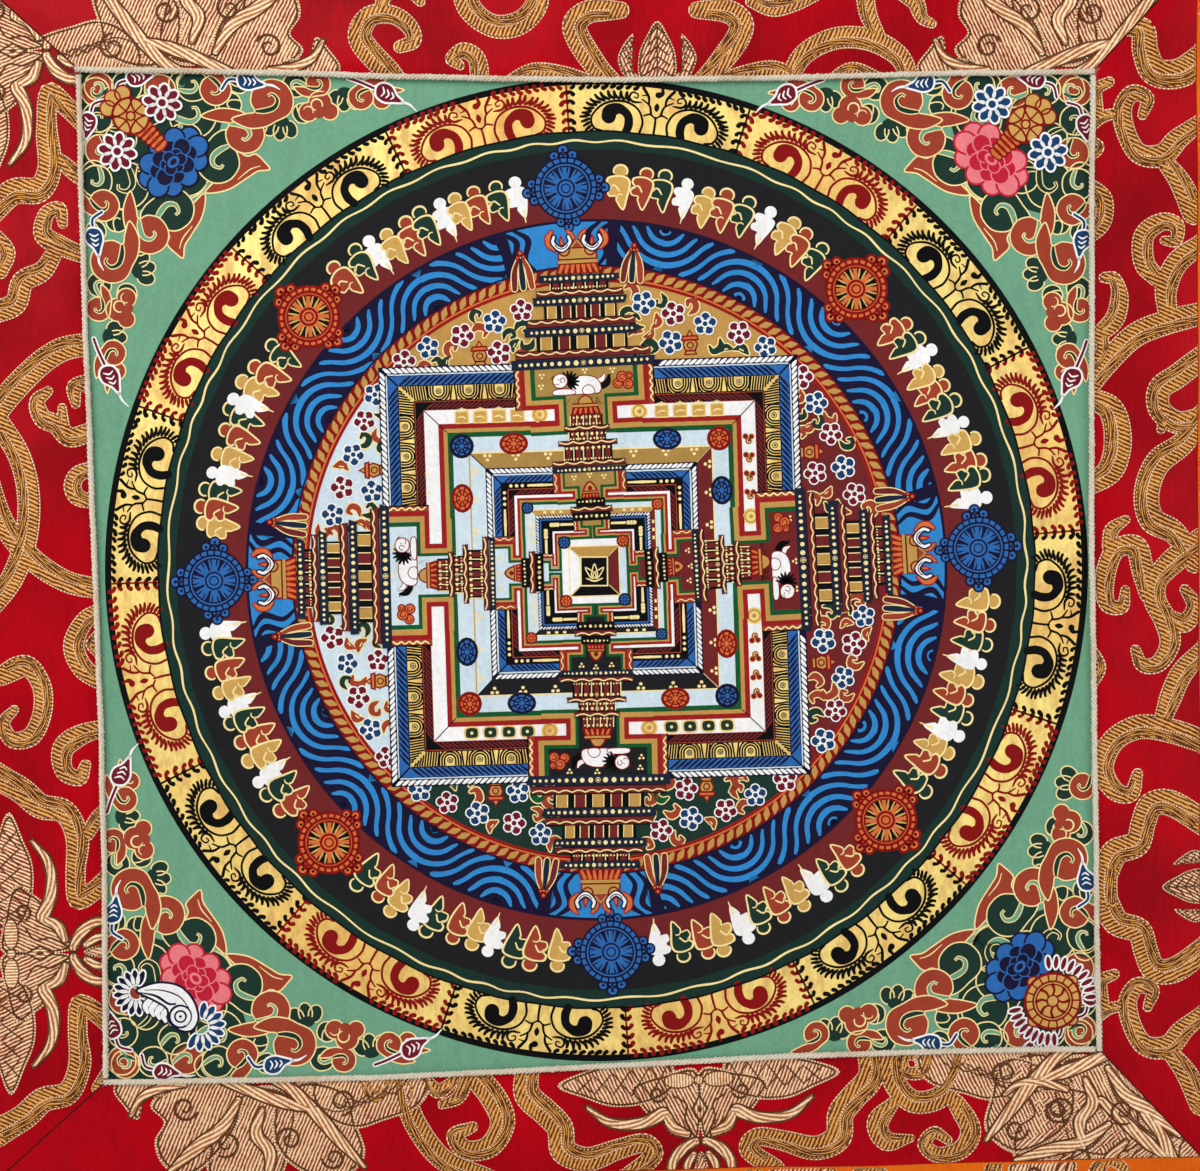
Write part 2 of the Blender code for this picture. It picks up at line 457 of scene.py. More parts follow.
def connect(tree, shader, **values):
    """Sets a shader's sockets, each to a plain value or another node's output. They are named or numbered."""
    for key, value in values.items():
        socket = shader.inputs[int(key[1:]) if key[0] == "_" else key.replace("_", " ")]
        if isinstance(value, bpy.types.NodeSocket):
            tree.links.new(value, socket)
        elif socket.type == "RGBA" and len(value) == 3:
            socket.default_value = (*value, 1.0)
        else:
            socket.default_value = value


def node(tree, kind, settings=None, **values):
    """A new shader node with its settings and sockets filled in."""
    n = tree.nodes.new("ShaderNode" + kind)
    for key, value in (settings or {}).items():
        setattr(n, key, value)
    connect(tree, n, **values)
    return n


def maths(tree, operation, a, b=0.0, c=0.0):
    return node(tree, "Math", {"operation": operation}, _0=a, _1=b, _2=c).outputs[0]


def blend(tree, share, a, b, mode="MIX"):
    settings = {"data_type": "RGBA", "blend_type": mode}
    return node(tree, "Mix", settings, _0=share, _6=a, _7=b).outputs[2]


def noise(tree, vector, scale, detail=2.0, roughness=0.5):
    return node(tree, "TexNoise", Vector=vector, Scale=scale, Detail=detail, Roughness=roughness).outputs[0]


def spread(tree, value, low, high, to_low=0.0, to_high=1.0):
    """Eases a value from one range to another."""
    settings = {"interpolation_type": "SMOOTHSTEP"}
    ranges = {"From_Min": low, "From_Max": high, "To_Min": to_low, "To_Max": to_high}
    return node(tree, "MapRange", settings, Value=value, **ranges).outputs[0]


def object_place(tree):
    return node(tree, "TexCoord").outputs["Object"]


def stretched(tree, place, scale, turn=0.0):
    """Object coordinates scaled by axis, and turned about y."""
    return node(tree, "Mapping", Vector=place, Rotation=(0.0, turn, 0.0), Scale=scale).outputs[0]


def grey(tree, level):
    return node(tree, "CombineColor", Red=level, Green=level, Blue=level).outputs[0]


def dimmed(colour, shares):
    return tuple(c * k for c, k in zip(colour, shares))


def new_group(name, inputs, outputs):
    """A shader node group: inputs and outputs are (name, socket type, default)."""
    group = bpy.data.node_groups.new(name, "ShaderNodeTree")
    for title, kind, default in inputs:
        socket = group.interface.new_socket(title, in_out="INPUT", socket_type=kind)
        socket.default_value = (*default, 1.0) if kind == "NodeSocketColor" else default
    for title, kind in outputs:
        group.interface.new_socket(title, in_out="OUTPUT", socket_type=kind)
    return group, group.nodes.new("NodeGroupInput").outputs, group.nodes.new("NodeGroupOutput").inputs


def use_group(tree, group, **values):
    return node(tree, "Group", {"node_tree": group}, **values).outputs


def canvas_group():
    """Cloth weave under paint: a height for bump, and a grain that lightens the thread crowns."""
    inputs = (("Pitch", "NodeSocketFloat", 0.6),)
    outputs = (("Height", "NodeSocketFloat"), ("Grain", "NodeSocketFloat"))
    tree, given, put = new_group("Canvas weave", inputs, outputs)
    place = object_place(tree)
    axes = node(tree, "SeparateXYZ", Vector=place).outputs
    per_thread = maths(tree, "DIVIDE", 2 * math.pi / MM, given["Pitch"])
    warp = maths(tree, "SINE", maths(tree, "MULTIPLY", axes["X"], per_thread))
    weft = maths(tree, "SINE", maths(tree, "MULTIPLY", axes["Z"], per_thread))
    weave = maths(tree, "MULTIPLY", warp, weft)
    slub = noise(tree, place, 900.0, 2.0)
    height = maths(tree, "ADD", maths(tree, "MULTIPLY", weave, 0.35), slub)
    tree.links.new(height, put["Height"])
    grain = maths(tree, "MULTIPLY_ADD", weave, 0.18, slub)
    tree.links.new(grain, put["Grain"])
    return tree


def brushed_group(weave):
    """Opaque water paint: the mixed colour with brush streaks, thin spots and canvas grain."""
    inputs = (
        ("Colour", "NodeSocketColor", (0.5, 0.5, 0.5)),
        ("Streaks", "NodeSocketFloat", 0.16),
        ("Grain", "NodeSocketFloat", 0.12),
    )
    outputs = (("Colour", "NodeSocketColor"), ("Roughness", "NodeSocketFloat"), ("Height", "NodeSocketFloat"))
    tree, given, put = new_group("Brushed paint", inputs, outputs)
    place = object_place(tree)
    cloth = use_group(tree, weave, Pitch=0.62)
    streak = noise(tree, stretched(tree, place, (420.0, 420.0, 90.0), 0.5), 1.0, 3.0, 0.6)
    cloud = noise(tree, place, 55.0, 3.0)
    tone = maths(tree, "ADD", maths(tree, "MULTIPLY", streak, 0.6), maths(tree, "MULTIPLY", cloud, 0.6))
    tone = maths(tree, "SUBTRACT", tone, 0.6)
    tone = maths(tree, "MULTIPLY", tone, given["Streaks"])
    grain = maths(tree, "MULTIPLY", maths(tree, "SUBTRACT", cloth["Grain"], 0.5), given["Grain"])
    level = maths(tree, "ADD", 1.0, maths(tree, "MULTIPLY", maths(tree, "ADD", tone, grain), 3.0))
    tree.links.new(blend(tree, 1.0, given["Colour"], grey(tree, level), "MULTIPLY"), put["Colour"])
    tree.links.new(spread(tree, cloud, 0.3, 0.7, 0.62, 0.78), put["Roughness"])
    height = maths(tree, "ADD", cloth["Height"], maths(tree, "MULTIPLY", streak, 0.5))
    tree.links.new(height, put["Height"])
    return tree


def thread_group():
    """Brocade threads that run across or along a woven stroke, from its own map."""
    inputs = (
        ("Light", "NodeSocketColor", (0.8, 0.7, 0.5)),
        ("Dark", "NodeSocketColor", (0.3, 0.2, 0.1)),
        ("Pitch", "NodeSocketFloat", 1.0),
        ("Slant", "NodeSocketFloat", 0.6),
    )
    outputs = (("Colour", "NodeSocketColor"), ("Height", "NodeSocketFloat"))
    tree, given, put = new_group("Brocade threads", inputs, outputs)
    spot = node(tree, "UVMap", {"uv_map": "Strokes"}).outputs[0]
    axes = node(tree, "SeparateXYZ", Vector=spot).outputs
    place = object_place(tree)
    wander = maths(tree, "MULTIPLY", noise(tree, place, 300.0, 2.0), 0.09)
    run = maths(tree, "ADD", axes["X"], maths(tree, "MULTIPLY", axes["Y"], given["Slant"]))
    run = maths(tree, "MULTIPLY", maths(tree, "ADD", run, wander), 10.0)
    turns = maths(tree, "MULTIPLY", maths(tree, "DIVIDE", run, given["Pitch"]), 2 * math.pi)
    rib = maths(tree, "MULTIPLY_ADD", maths(tree, "SINE", turns), 0.5, 0.5)
    fibre = noise(tree, place, 2600.0, 2.0)
    glint = noise(tree, place, 130.0, 3.0)
    fleck = noise(tree, place, 1000.0, 1.0)
    share = maths(tree, "ADD", maths(tree, "MULTIPLY", rib, 0.62), maths(tree, "MULTIPLY", glint, 0.55))
    share = maths(tree, "MULTIPLY_ADD", fleck, 0.62, share)
    share = maths(tree, "ADD", share, maths(tree, "MULTIPLY", fibre, 0.30))
    share = spread(tree, share, 0.76, 1.30)
    tree.links.new(blend(tree, share, given["Dark"], given["Light"]), put["Colour"])
    tree.links.new(maths(tree, "ADD", rib, maths(tree, "MULTIPLY", fibre, 0.4)), put["Height"])
    return tree


def satin_group():
    """Satin ground: long floats with a soft sheen that shifts, and faint weave lines."""
    inputs = (("Colour", "NodeSocketColor", (0.5, 0.0, 0.0)), ("Shade", "NodeSocketColor", (0.2, 0.0, 0.0)))
    outputs = (("Colour", "NodeSocketColor"), ("Roughness", "NodeSocketFloat"), ("Height", "NodeSocketFloat"))
    tree, given, put = new_group("Satin ground", inputs, outputs)
    place = object_place(tree)
    axes = node(tree, "SeparateXYZ", Vector=place).outputs
    thread = noise(tree, stretched(tree, place, (1500.0, 1500.0, 180.0)), 1.0, 2.0)
    line = maths(tree, "SINE", maths(tree, "MULTIPLY", axes["X"], 2 * math.pi / (0.55 * MM)))
    cloud = noise(tree, place, 28.0, 3.0)
    share = maths(tree, "ADD", maths(tree, "MULTIPLY", cloud, 0.9), maths(tree, "MULTIPLY", thread, 0.35))
    share = spread(tree, share, 0.36, 0.86)
    tree.links.new(blend(tree, share, given["Shade"], given["Colour"]), put["Colour"])
    tree.links.new(spread(tree, cloud, 0.3, 0.75, 0.5, 0.34), put["Roughness"])
    height = maths(tree, "ADD", thread, maths(tree, "MULTIPLY", line, 0.3))
    tree.links.new(height, put["Height"])
    return tree


def material(name):
    made = bpy.data.materials.new(name)
    made.use_nodes = True
    return made, made.node_tree, made.node_tree.nodes["Principled BSDF"]


def bump(tree, height, depth, strength):
    return node(tree, "Bump", Height=height, Distance=depth * MM, Strength=strength).outputs[0]


def make_palette():
    """Every material, by name."""
    colours = bpy.context.scene.thangka_colours
    mixed = {key: linear(getattr(colours, key)) for key, _, _ in PAINTS + CLOTHS}
    weave = canvas_group()
    brushed = brushed_group(weave)
    threads = thread_group()
    satin = satin_group()
    palette = {key: paint_material(key, mixed[key], brushed) for key, _, _ in PAINTS}
    palette["gold"] = gold_paint(brushed)
    palette["canvas"] = bare_canvas(mixed["canvas"], weave)
    palette["satin"] = satin_material("red_satin", mixed["satin"], (0.55, 0.5, 0.6), satin)
    palette["strip"] = satin_material("orange_satin", mixed["strip"], (0.8, 0.55, 0.4), satin)
    edge_gap = linear((0.70, 0.40, 0.22))
    # Light and dark thread, the pitch of the threads in millimetres, and how far they lean along a stroke.
    for key, name, light, dark, pitch, slant in (
        ("scroll", "woven_gold", mixed["scroll"], mixed["scroll_shade"], 1.25, -0.45),
        ("rib", "gold_rib", mixed["scroll"], mixed["scroll_shade"], 6.0, 9.0),
        ("motif", "pale_gold", mixed["motif"], mixed["motif_shade"], 1.15, -0.45),
        ("picot", "cream_edge", mixed["picot"], edge_gap, 0.9, 0.0),
        ("sheen", "gold_sheen", mixed["picot"], edge_gap, 7.0, 5.5),
        ("brown", "brown_edge", (0.17, 0.055, 0.012), (0.06, 0.015, 0.004), 0.9, 0.3),
    ):
        palette[key] = thread_material(name, light, dark, pitch, slant, threads)
    palette["satin_back"] = back_cloth("brocade_back", mixed["scroll_shade"], mixed["satin"])
    palette["strip_back"] = back_cloth("strip_back", mixed["scroll"], mixed["strip"])
    palette["cotton"] = cord_material(mixed["cotton"])
    # A near-black red for the painted shade in the mitre creases.
    palette["crease"] = paint_material("seam_crease_shade", (0.085, 0.002, 0.004), brushed)
    palette["stitch"] = paint_material("stitch_thread", linear((0.55, 0.30, 0.10)), brushed)
    return palette


def paint_material(name, colour, brushed):
    """Matt water paint. The darkest ones show their brush strokes more."""
    made, tree, shader = material("paint_" + name)
    dark = sum(colour) < 0.12
    out = use_group(tree, brushed, Colour=colour, Streaks=0.22 if dark else 0.14, Grain=0.10)
    connect(tree, shader, Base_Color=out["Colour"], Roughness=out["Roughness"])
    connect(tree, shader, Normal=bump(tree, out["Height"], 0.05, 0.35), Specular_IOR_Level=0.10)
    return made


def gold_paint(brushed):
    """Gold paint: bright where it pools, thin and tan where the brush ran dry."""
    made, tree, shader = material("paint_gold")
    place = object_place(tree)
    dapple = stretched(tree, place, (260.0, 260.0, 110.0), 0.9)
    thin = spread(tree, noise(tree, dapple, 1.0, 4.0, 0.65), 0.40, 0.66)
    cloud = spread(tree, noise(tree, place, 22.0, 2.0), 0.38, 0.66)
    rich = blend(tree, cloud, linear((0.99, 0.89, 0.52)), linear((0.95, 0.78, 0.42)))
    tone = blend(tree, maths(tree, "MULTIPLY", thin, 0.6), rich, linear((0.80, 0.58, 0.31)))
    out = use_group(tree, brushed, Colour=tone, Streaks=0.10, Grain=0.10)
    connect(tree, shader, Base_Color=out["Colour"], Roughness=spread(tree, thin, 0.0, 1.0, 0.42, 0.62))
    connect(tree, shader, Normal=bump(tree, out["Height"], 0.05, 0.4), Metallic=0.25)
    return made


def bare_canvas(colour, weave):
    """The unpainted back of the canvas, a little stained."""
    made, tree, shader = material("bare_canvas")
    cloth = use_group(tree, weave, Pitch=0.8)
    place = object_place(tree)
    stain = spread(tree, noise(tree, place, 18.0, 4.0), 0.45, 0.75)
    tone = blend(tree, stain, colour, dimmed(colour, (0.78, 0.70, 0.58)))
    level = spread(tree, cloth["Grain"], 0.2, 0.9, 0.72, 1.08)
    connect(tree, shader, Base_Color=blend(tree, 1.0, tone, grey(tree, level), "MULTIPLY"), Roughness=0.9)
    connect(tree, shader, Normal=bump(tree, cloth["Height"], 0.15, 0.8))
    return made


def satin_material(name, colour, dim, satin):
    """Satin whose colour is dimmed by dim where its floats lie away from the light."""
    made, tree, shader = material(name)
    out = use_group(tree, satin, Colour=colour, Shade=dimmed(colour, dim))
    connect(tree, shader, Base_Color=out["Colour"], Roughness=out["Roughness"])
    connect(tree, shader, Normal=bump(tree, out["Height"], 0.06, 0.5), Specular_IOR_Level=0.06)
    connect(tree, shader, Sheen_Weight=0.12, Sheen_Roughness=0.35, Sheen_Tint=(1.0, 0.02, 0.08, 1.0))
    return made


def thread_material(name, light, dark, pitch, slant, threads):
    made, tree, shader = material(name)
    out = use_group(tree, threads, Light=light, Dark=dark, Pitch=pitch, Slant=slant)
    connect(tree, shader, Base_Color=out["Colour"], Roughness=0.42, Metallic=0.12, Specular_IOR_Level=0.2)
    connect(tree, shader, Normal=bump(tree, out["Height"], 0.22, 0.8))
    return made


def back_cloth(name, thread, ground):
    """The reverse of a brocade, where the gold wefts float across the ground."""
    made, tree, shader = material(name)
    place = object_place(tree)
    weft = spread(tree, noise(tree, stretched(tree, place, (60.0, 60.0, 1400.0)), 1.0, 2.0), 0.42, 0.62)
    patch = spread(tree, noise(tree, place, 60.0, 3.0), 0.42, 0.58)
    share = maths(tree, "MULTIPLY", weft, patch)
    tone = blend(tree, share, dimmed(ground, (0.7, 0.7, 0.7)), thread)
    connect(tree, shader, Base_Color=tone, Roughness=0.75)
    connect(tree, shader, Normal=bump(tree, weft, 0.15, 0.6))
    return made


def cord_material(colour):
    """Off-white cotton, soiled in places."""
    made, tree, shader = material("cotton_cord")
    place = object_place(tree)
    fibre = noise(tree, place, 2200.0, 3.0, 0.7)
    grime = spread(tree, noise(tree, place, 70.0, 3.0), 0.45, 0.8)
    pale = blend(tree, spread(tree, fibre, 0.25, 0.7), dimmed(colour, (0.72, 0.72, 0.72)), colour)
    tone = blend(tree, grime, pale, dimmed(colour, (0.80, 0.66, 0.55)))
    connect(tree, shader, Base_Color=tone, Roughness=0.95)
    connect(tree, shader, Normal=bump(tree, fibre, 0.2, 0.8), Sheen_Weight=0.4, Sheen_Roughness=0.6)
    return made


# ---------------------------------------------------------------- cloths and cords


def side_normal(corners, side):
    """The outward direction of a side."""
    d = np.array(corners[(side + 1) % 4]) - corners[side]
    return np.array([-d[1], d[0]]) / math.hypot(*d)


def opening_grid(count, margin):
    """Points that fill the canvas opening, blended from its four bowed sides."""
    share = np.linspace(margin, 1 - margin, count + 1)
    top = along(OPENING, OPENING_BOW, 0, share)[None]
    right = along(OPENING, OPENING_BOW, 1, share)[:, None]
    bottom = along(OPENING, OPENING_BOW, 2, 1 - share)[None]
    left = along(OPENING, OPENING_BOW, 3, 1 - share)[:, None]
    u = share[None, :, None]
    v = share[:, None, None]
    a, b, c, d = (np.array(corner) for corner in OPENING)
    corners = (a * (1 - u) + b * u) * (1 - v) + (d * (1 - u) + c * u) * v
    return top * (1 - v) + bottom * v + left * (1 - u) + right * u - corners


def panel_grid(side, inner, outer, columns, rows):
    """Points of a mitred strip between two bowed seams, inner row first."""
    shares = np.linspace(0.0001, 0.9999, columns + 1)
    near = along(*inner, side, shares)[None]
    far = along(*outer, side, shares)[None]
    margin = 0.03 / np.linalg.norm(far[0, columns // 2] - near[0, columns // 2])
    t = np.linspace(margin, 1 - margin, rows + 1)[:, None, None]
    return near * (1 - t) + far * t


def flat_area(outline):
    """Square metres inside an outline in millimetres."""
    return abs(twice_area(np.array(outline))) / 2 * MM * MM


def sheet_piece(name, grid, thick, front, back, thicker=None):
    """A closed sheet on the relief. thicker adds depth at its back, as a turned hem does."""
    rows, columns = grid.shape[:2]
    flat = grid.reshape(-1, 2)
    extra = np.zeros(len(flat)) if thicker is None else thicker(flat)
    front_points = on_cloth(flat, thick / 2)
    back_points = on_cloth(flat, -thick / 2)
    back_points[:, 1] += extra * MM
    size = len(flat)
    faces = grid_faces(rows, columns)
    span = grid[0, -1] - grid[0, 0]
    depth = grid[-1, 0] - grid[0, 0]
    clockwise = span[0] * depth[1] < span[1] * depth[0]
    if clockwise:
        faces = [face[::-1] for face in faces]
    inner = len(faces)
    faces += [[k + size for k in face[::-1]] for face in faces]
    rim = list(range(columns))
    rim += [j * columns + columns - 1 for j in range(1, rows)]
    rim += [(rows - 1) * columns + i for i in range(columns - 2, -1, -1)]
    rim += [j * columns for j in range(rows - 2, 0, -1)]
    for a, b in zip(rim, rim[1:] + rim[:1]):
        wall = (a, a + size, b + size, b)
        faces.append(wall[::-1] if clockwise else wall)
    mesh = bpy.data.meshes.new(name)
    mesh.from_pydata(np.vstack([front_points, back_points]), [], faces)
    mesh.materials.append(front)
    mesh.materials.append(back)
    mesh.polygons.foreach_set("material_index", [0] * inner + [1] * (len(faces) - inner))
    ob = new_object(name, mesh)
    bpy.ops.object.select_all(action="DESELECT")
    ob.select_set(True)
    bpy.context.view_layer.objects.active = ob
    bpy.ops.object.shade_smooth_by_angle(angle=math.radians(40))
    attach(ob, "root")
    return ob


def make_canvas(palette, grid_cells):
    ob = sheet_piece(
        "canvas_sheet", opening_grid(grid_cells, 0.0006), CANVAS_THICK, palette["mint"], palette["canvas"]
    )
    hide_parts("painting_canvas")
    return ob


def make_panels(kind, inner, outer, thick, front, back, columns, rows, slot, thicker=None):
    """Four mitred strips, each in place of its own solid."""
    made = []
    for side, word in enumerate(SIDES):
        grid = panel_grid(side, inner, outer, columns, rows)
        ob = sheet_piece(f"{kind}_{word}_cloth", grid, thick, front, back, thicker)
        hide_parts(f"{kind}_{word}")
        made.append(ob)
    return made


def twisted(route, strands, strand_size, offset, pitch, rng):
    """Vertices and faces of strands twisted round a route in metres."""
    sides = 6
    far = lengths(route)
    ahead = np.gradient(route, axis=0)
    ahead /= np.linalg.norm(ahead, axis=1)[:, None]
    out = np.cross(ahead, (0.0, 1.0, 0.0))
    out /= np.linalg.norm(out, axis=1)[:, None]
    up = np.cross(out, ahead)
    wander = np.convolve(rng.normal(0, 1, len(route) + 24), np.ones(25) / 25, "valid")
    points, faces = [], []
    for strand in range(strands):
        turn = 2 * math.pi * (far / pitch + strand / strands) + wander * 1.2
        swell = 1 + 0.35 * np.convolve(rng.normal(0, 1, len(route) + 8), np.ones(9) / 9, "valid")
        middle = route + offset * (out * np.cos(turn)[:, None] + up * np.sin(turn)[:, None])
        start = sum(len(p) for p in points)
        for k in range(sides):
            a = 2 * math.pi * k / sides
            points.append(middle + strand_size * swell[:, None] * (out * math.cos(a) + up * math.sin(a)))
        n = len(route)
        for k in range(sides):
            here, following = start + k * n, start + (k + 1) % sides * n
            for i in range(n - 1):
                faces.append((here + i, following + i, following + i + 1, here + i + 1))
        faces.append(tuple(start + k * n for k in range(sides))[::-1])
        faces.append(tuple(start + k * n + n - 1 for k in range(sides)))
    return np.vstack(points), faces


def cord_route(side, start, end, step):
    """Points in metres along one seam, from start to end in millimetres past its corners."""
    length = math.dist(OPENING[side], OPENING[(side + 1) % 4])
    t = np.arange(-start, length + end, step) / length
    flat = along(OPENING, OPENING_BOW, side, t)
    return on_cloth(flat, BROCADE_THICK / 2 + GAP + CORD_DIAMETER / 2)


def make_cord(side, start, end, palette, pitch):
    """A twisted cotton cord with loose fibres standing off it."""
    word = SIDES[side]
    rng = np.random.default_rng(31 + side)
    route = cord_route(side, start, end, 0.55)
    drift = np.convolve(rng.normal(0, 1, len(route) + 40), np.ones(41) / 41, "valid")[:, None]
    route = route + drift * 0.5 * MM * np.array([1.0, 0.0, 1.0])
    points, faces = twisted(route, 3, 0.47 * MM, 0.47 * MM, pitch * MM, rng)
    fuzz_points, fuzz_faces = fuzz(route, 900, rng)
    faces += [tuple(len(points) + k for k in face) for face in fuzz_faces]
    mesh = bpy.data.meshes.new(f"cord_{word}_twist")
    mesh.from_pydata(np.vstack([points, fuzz_points]), [], faces)
    mesh.materials.append(palette["cotton"])
    mesh.shade_smooth()
    ob = new_object(f"cord_{word}_twist", mesh)
    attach(ob, "root")
    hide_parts(f"cord_{word}")
    return ob


def fuzz(route, count, rng):
    """Fine fibres as thin three-sided slivers, thickest near the ends of the cord."""
    ahead = np.gradient(route, axis=0)
    ahead /= np.linalg.norm(ahead, axis=1)[:, None]
    points, faces = [], []
    for _ in range(count):
        near_end = rng.random() < 0.12
        share = rng.beta(0.25, 0.25) if near_end else rng.random()
        k = min(int(share * len(route)), len(route) - 1)
        lean = rng.normal(0, 1, 3)
        lean -= ahead[k] * (lean @ ahead[k]) * 0.5
        lean /= np.linalg.norm(lean)
        lean[1] = min(lean[1], 0.2)
        root = route[k] + lean * 0.6 * MM
        reach = rng.uniform(0.5, 1.3) * (1.8 if near_end else 1.0) * MM
        side = np.cross(lean, ahead[k]) + 1e-9
        side *= 0.035 * MM / np.linalg.norm(side)
        bend = root + lean * reach * 0.6 + ahead[k] * rng.normal(0, 0.25) * MM
        tip = root + lean * reach + ahead[k] * rng.normal(0, 0.5) * MM
        start = len(points)
        points += [root - side, root + side, bend + side, bend - side, tip]
        faces += [(start, start + 1, start + 2, start + 3), (start + 3, start + 2, start + 4)]
    return np.array(points), faces


def stage_plane(name, corners, paint):
    mesh = bpy.data.meshes.new(name)
    mesh.from_pydata([Vector(c) for c in corners], [], [(0, 1, 2, 3)])
    mesh.materials.append(paint)
    new_object(name, mesh)


def soft_light(name, place, target, size, power, colour):
    data = bpy.data.lights.new(name, "AREA")
    data.shape = "RECTANGLE"
    data.size, data.size_y = size
    data.energy = power
    data.color = colour
    ob = new_object(name, data)
    ob.location = place
    ob.rotation_euler = (Vector(target) - Vector(place)).to_track_quat("-Z", "Y").to_euler()


# ---------------------------------------------------------------- the rings of the mandala

MANDALA = (4.35, -198.6)
# Radii, from the outline inwards.
OUTLINE = 147.3
FLAME_OUT, FLAME_IN = 145.6, 131.4
VINE_IN = 126.3
SKY_IN = 115.3
EARTH_IN = 104.4
WAVE_IN = 91.2
GARLAND_IN = 87.3

FLAME_JOINTS = (93.6, 71.6, 48.8, 27.3, 4.6, -18.6, -40.5, -63.4, -86.2, -108.8, -131.4, -154.0, -178.3)
FLAME_JOINTS += (-199.8, -221.4, -244.3, -266.4)
WHEEL_ANGLES = (94.6, 47.2, 3.2, -40.9, -87.8, -134.4, -178.3, -221.3)
FIGURE_PAINTS = ("tan", "rust", "forest", "white")
FIGURE_FEET = 107.9
WHEEL_MIDDLE = 114.6
GARLAND_MIDDLE = 89.3


def mandala_easel(store=None):
    return Easel(store=store).moved(*MANDALA)


def comma(easel, x, z, turn, size, paint, layer):
    """A hooked tooth that hangs from an edge."""
    local = easel.moved(x, z, turn, size)
    local.stroke([(0, 0.25), (0.05, -0.75), (0.75, -1.25)], [1.3, 0.95, 1.25], paint, layer, steps=3)


def flame_eye(cell, flip, paint, layer, rng):
    """One of a flame cell's two eyes: a dome with a hooked comma, and short flames round its outer half."""
    e = cell.moved(flip=flip)
    dome = smooth(
        [(4.3, 0.1), (3.7, 3.6), (5.6, 7.4), (10.0, 9.3), (15.2, 8.2), (18.6, 4.4), (18.0, 1.2), (15.4, 0.1)],
        5,
    )
    e.line(dome, [0.75, 0.62, 0.8, 0.62, 0.75], paint, layer, step=2)
    hook = [(13.6, 4.6), (13.2, 6.2), (10.6, 6.9), (8.2, 5.2), (7.7, 2.4), (8.4, 0.0)]
    e.stroke(hook, [4.3, 3.6, 2.5, 2.4, 2.6, 2.4], paint, layer, steps=5)
    e.dot(13.6, 4.4, 4.1, paint, layer + 1, 14)
    flames = 15
    for k in range(flames):
        share = k / (flames - 1)
        a = math.radians(112 - 140 * share)
        x = 11.0 + 8.2 * math.cos(a) + 0.4
        z = 3.7 + 6.4 * math.sin(a)
        if z < 0.3:
            continue
        lean = math.degrees(a) - 38 + rng.uniform(-6, 6)
        reach = 2.0 + 0.4 * math.sin(share * math.pi) + rng.uniform(-0.2, 0.2)
        tip = (
            x + reach * math.cos(math.radians(lean)),
            min(z + reach * math.sin(math.radians(lean)) + 0.35, 13.2),
        )
        bend = ((x + tip[0]) / 2 + 0.28, (z + tip[1]) / 2 - 0.28)
        e.stroke([(x - 0.3, z - 0.1), bend, tip], [0.75, 1.15, 0.75], paint, layer, steps=3)
    curl = [(4.6, 9.3), (6.9, 9.3), (8.0, 10.6), (7.2, 12.1), (5.7, 11.6), (5.8, 10.5), (6.7, 10.7)]
    e.stroke(curl, [0.4, 0.7, 0.8, 0.7, 0.6, 0.5, 0.4], paint, layer, steps=4)
    e.stroke([(0.3, 5.0), (1.8, 6.0), (3.5, 5.4)], [0.5, 0.6, 0.5], paint, layer, steps=3)
    e.stroke([(1.5, 6.2), (2.2, 8.6), (4.4, 10.2)], [0.7, 0.6, 0.45], paint, layer, steps=4)
    e.stroke([(2.4, 9.2), (2.7, 11.2), (4.3, 13.6)], [0.6, 0.85, 0.9], paint, layer, steps=4)
    e.stroke([(3.2, 11.6), (4.6, 11.3)], [0.5, 0.3], paint, layer, steps=2)


def flame_cell(mandala, start, end, paint, layer, rng):
    """One cell of the flame ring: hooked teeth along its outer edge and ends, and two eyes."""
    half = math.radians(start - end) / 2 * FLAME_IN
    cell = mandala.bent((start + end) / 2, FLAME_IN).moved(rng.uniform(-0.4, 0.4))
    top = FLAME_OUT - FLAME_IN
    for flip, e in enumerate(halves(cell)):
        count = 9
        for k in range(count):
            x = 4.6 + (half - 5.6) * (k + 0.5) / count + rng.uniform(-0.2, 0.2)
            comma(e, x, top + 0.2, rng.uniform(-12, 8), 1.0 + rng.uniform(-0.1, 0.15), paint, layer)
        for k in range(5):
            z = 0.9 + 2.7 * k + rng.uniform(-0.2, 0.2)
            comma(e, half - 0.2, z, -92 + rng.uniform(-8, 8), 1.0 + rng.uniform(-0.1, 0.15), paint, layer)
        shift = (4 if flip else -4) * (1 - half / 25.8)
        flame_eye(cell.moved(shift), flip, paint, layer, rng)
    cell.stroke([(0, 0), (0.1, 2.8), (0, 5.2)], [0.75, 0.7, 0.6], paint, layer, steps=3)
    cell.blob([(0, 9.6), (0.75, 8.2), (0, 6.9), (-0.75, 8.2)], paint, layer)
    cell.stroke([(0.9, 14.4), (1.1, 12.7), (0.1, 12.0)], [0.7, 0.9, 1.9], paint, layer, steps=3)
    cell.line([(half, 0), (half, top)], 0.55, paint, layer, step=3)


def paint_flames(palette):
    easel = mandala_easel()
    rng = random.Random(5)
    easel.ring(FLAME_OUT - 0.2, OUTLINE, "black", 2, step=1.5)
    easel.ring(FLAME_IN - 0.2, FLAME_OUT, "gold", 1, step=1.5)
    for k, (start, end) in enumerate(zip(FLAME_JOINTS, FLAME_JOINTS[1:])):
        flame_cell(easel, start, end, "crimson" if k % 2 else "black", 3, rng)
    return piece("flame_ring", easel, CANVAS_THICK / 2, PAINT_LAYER, palette)


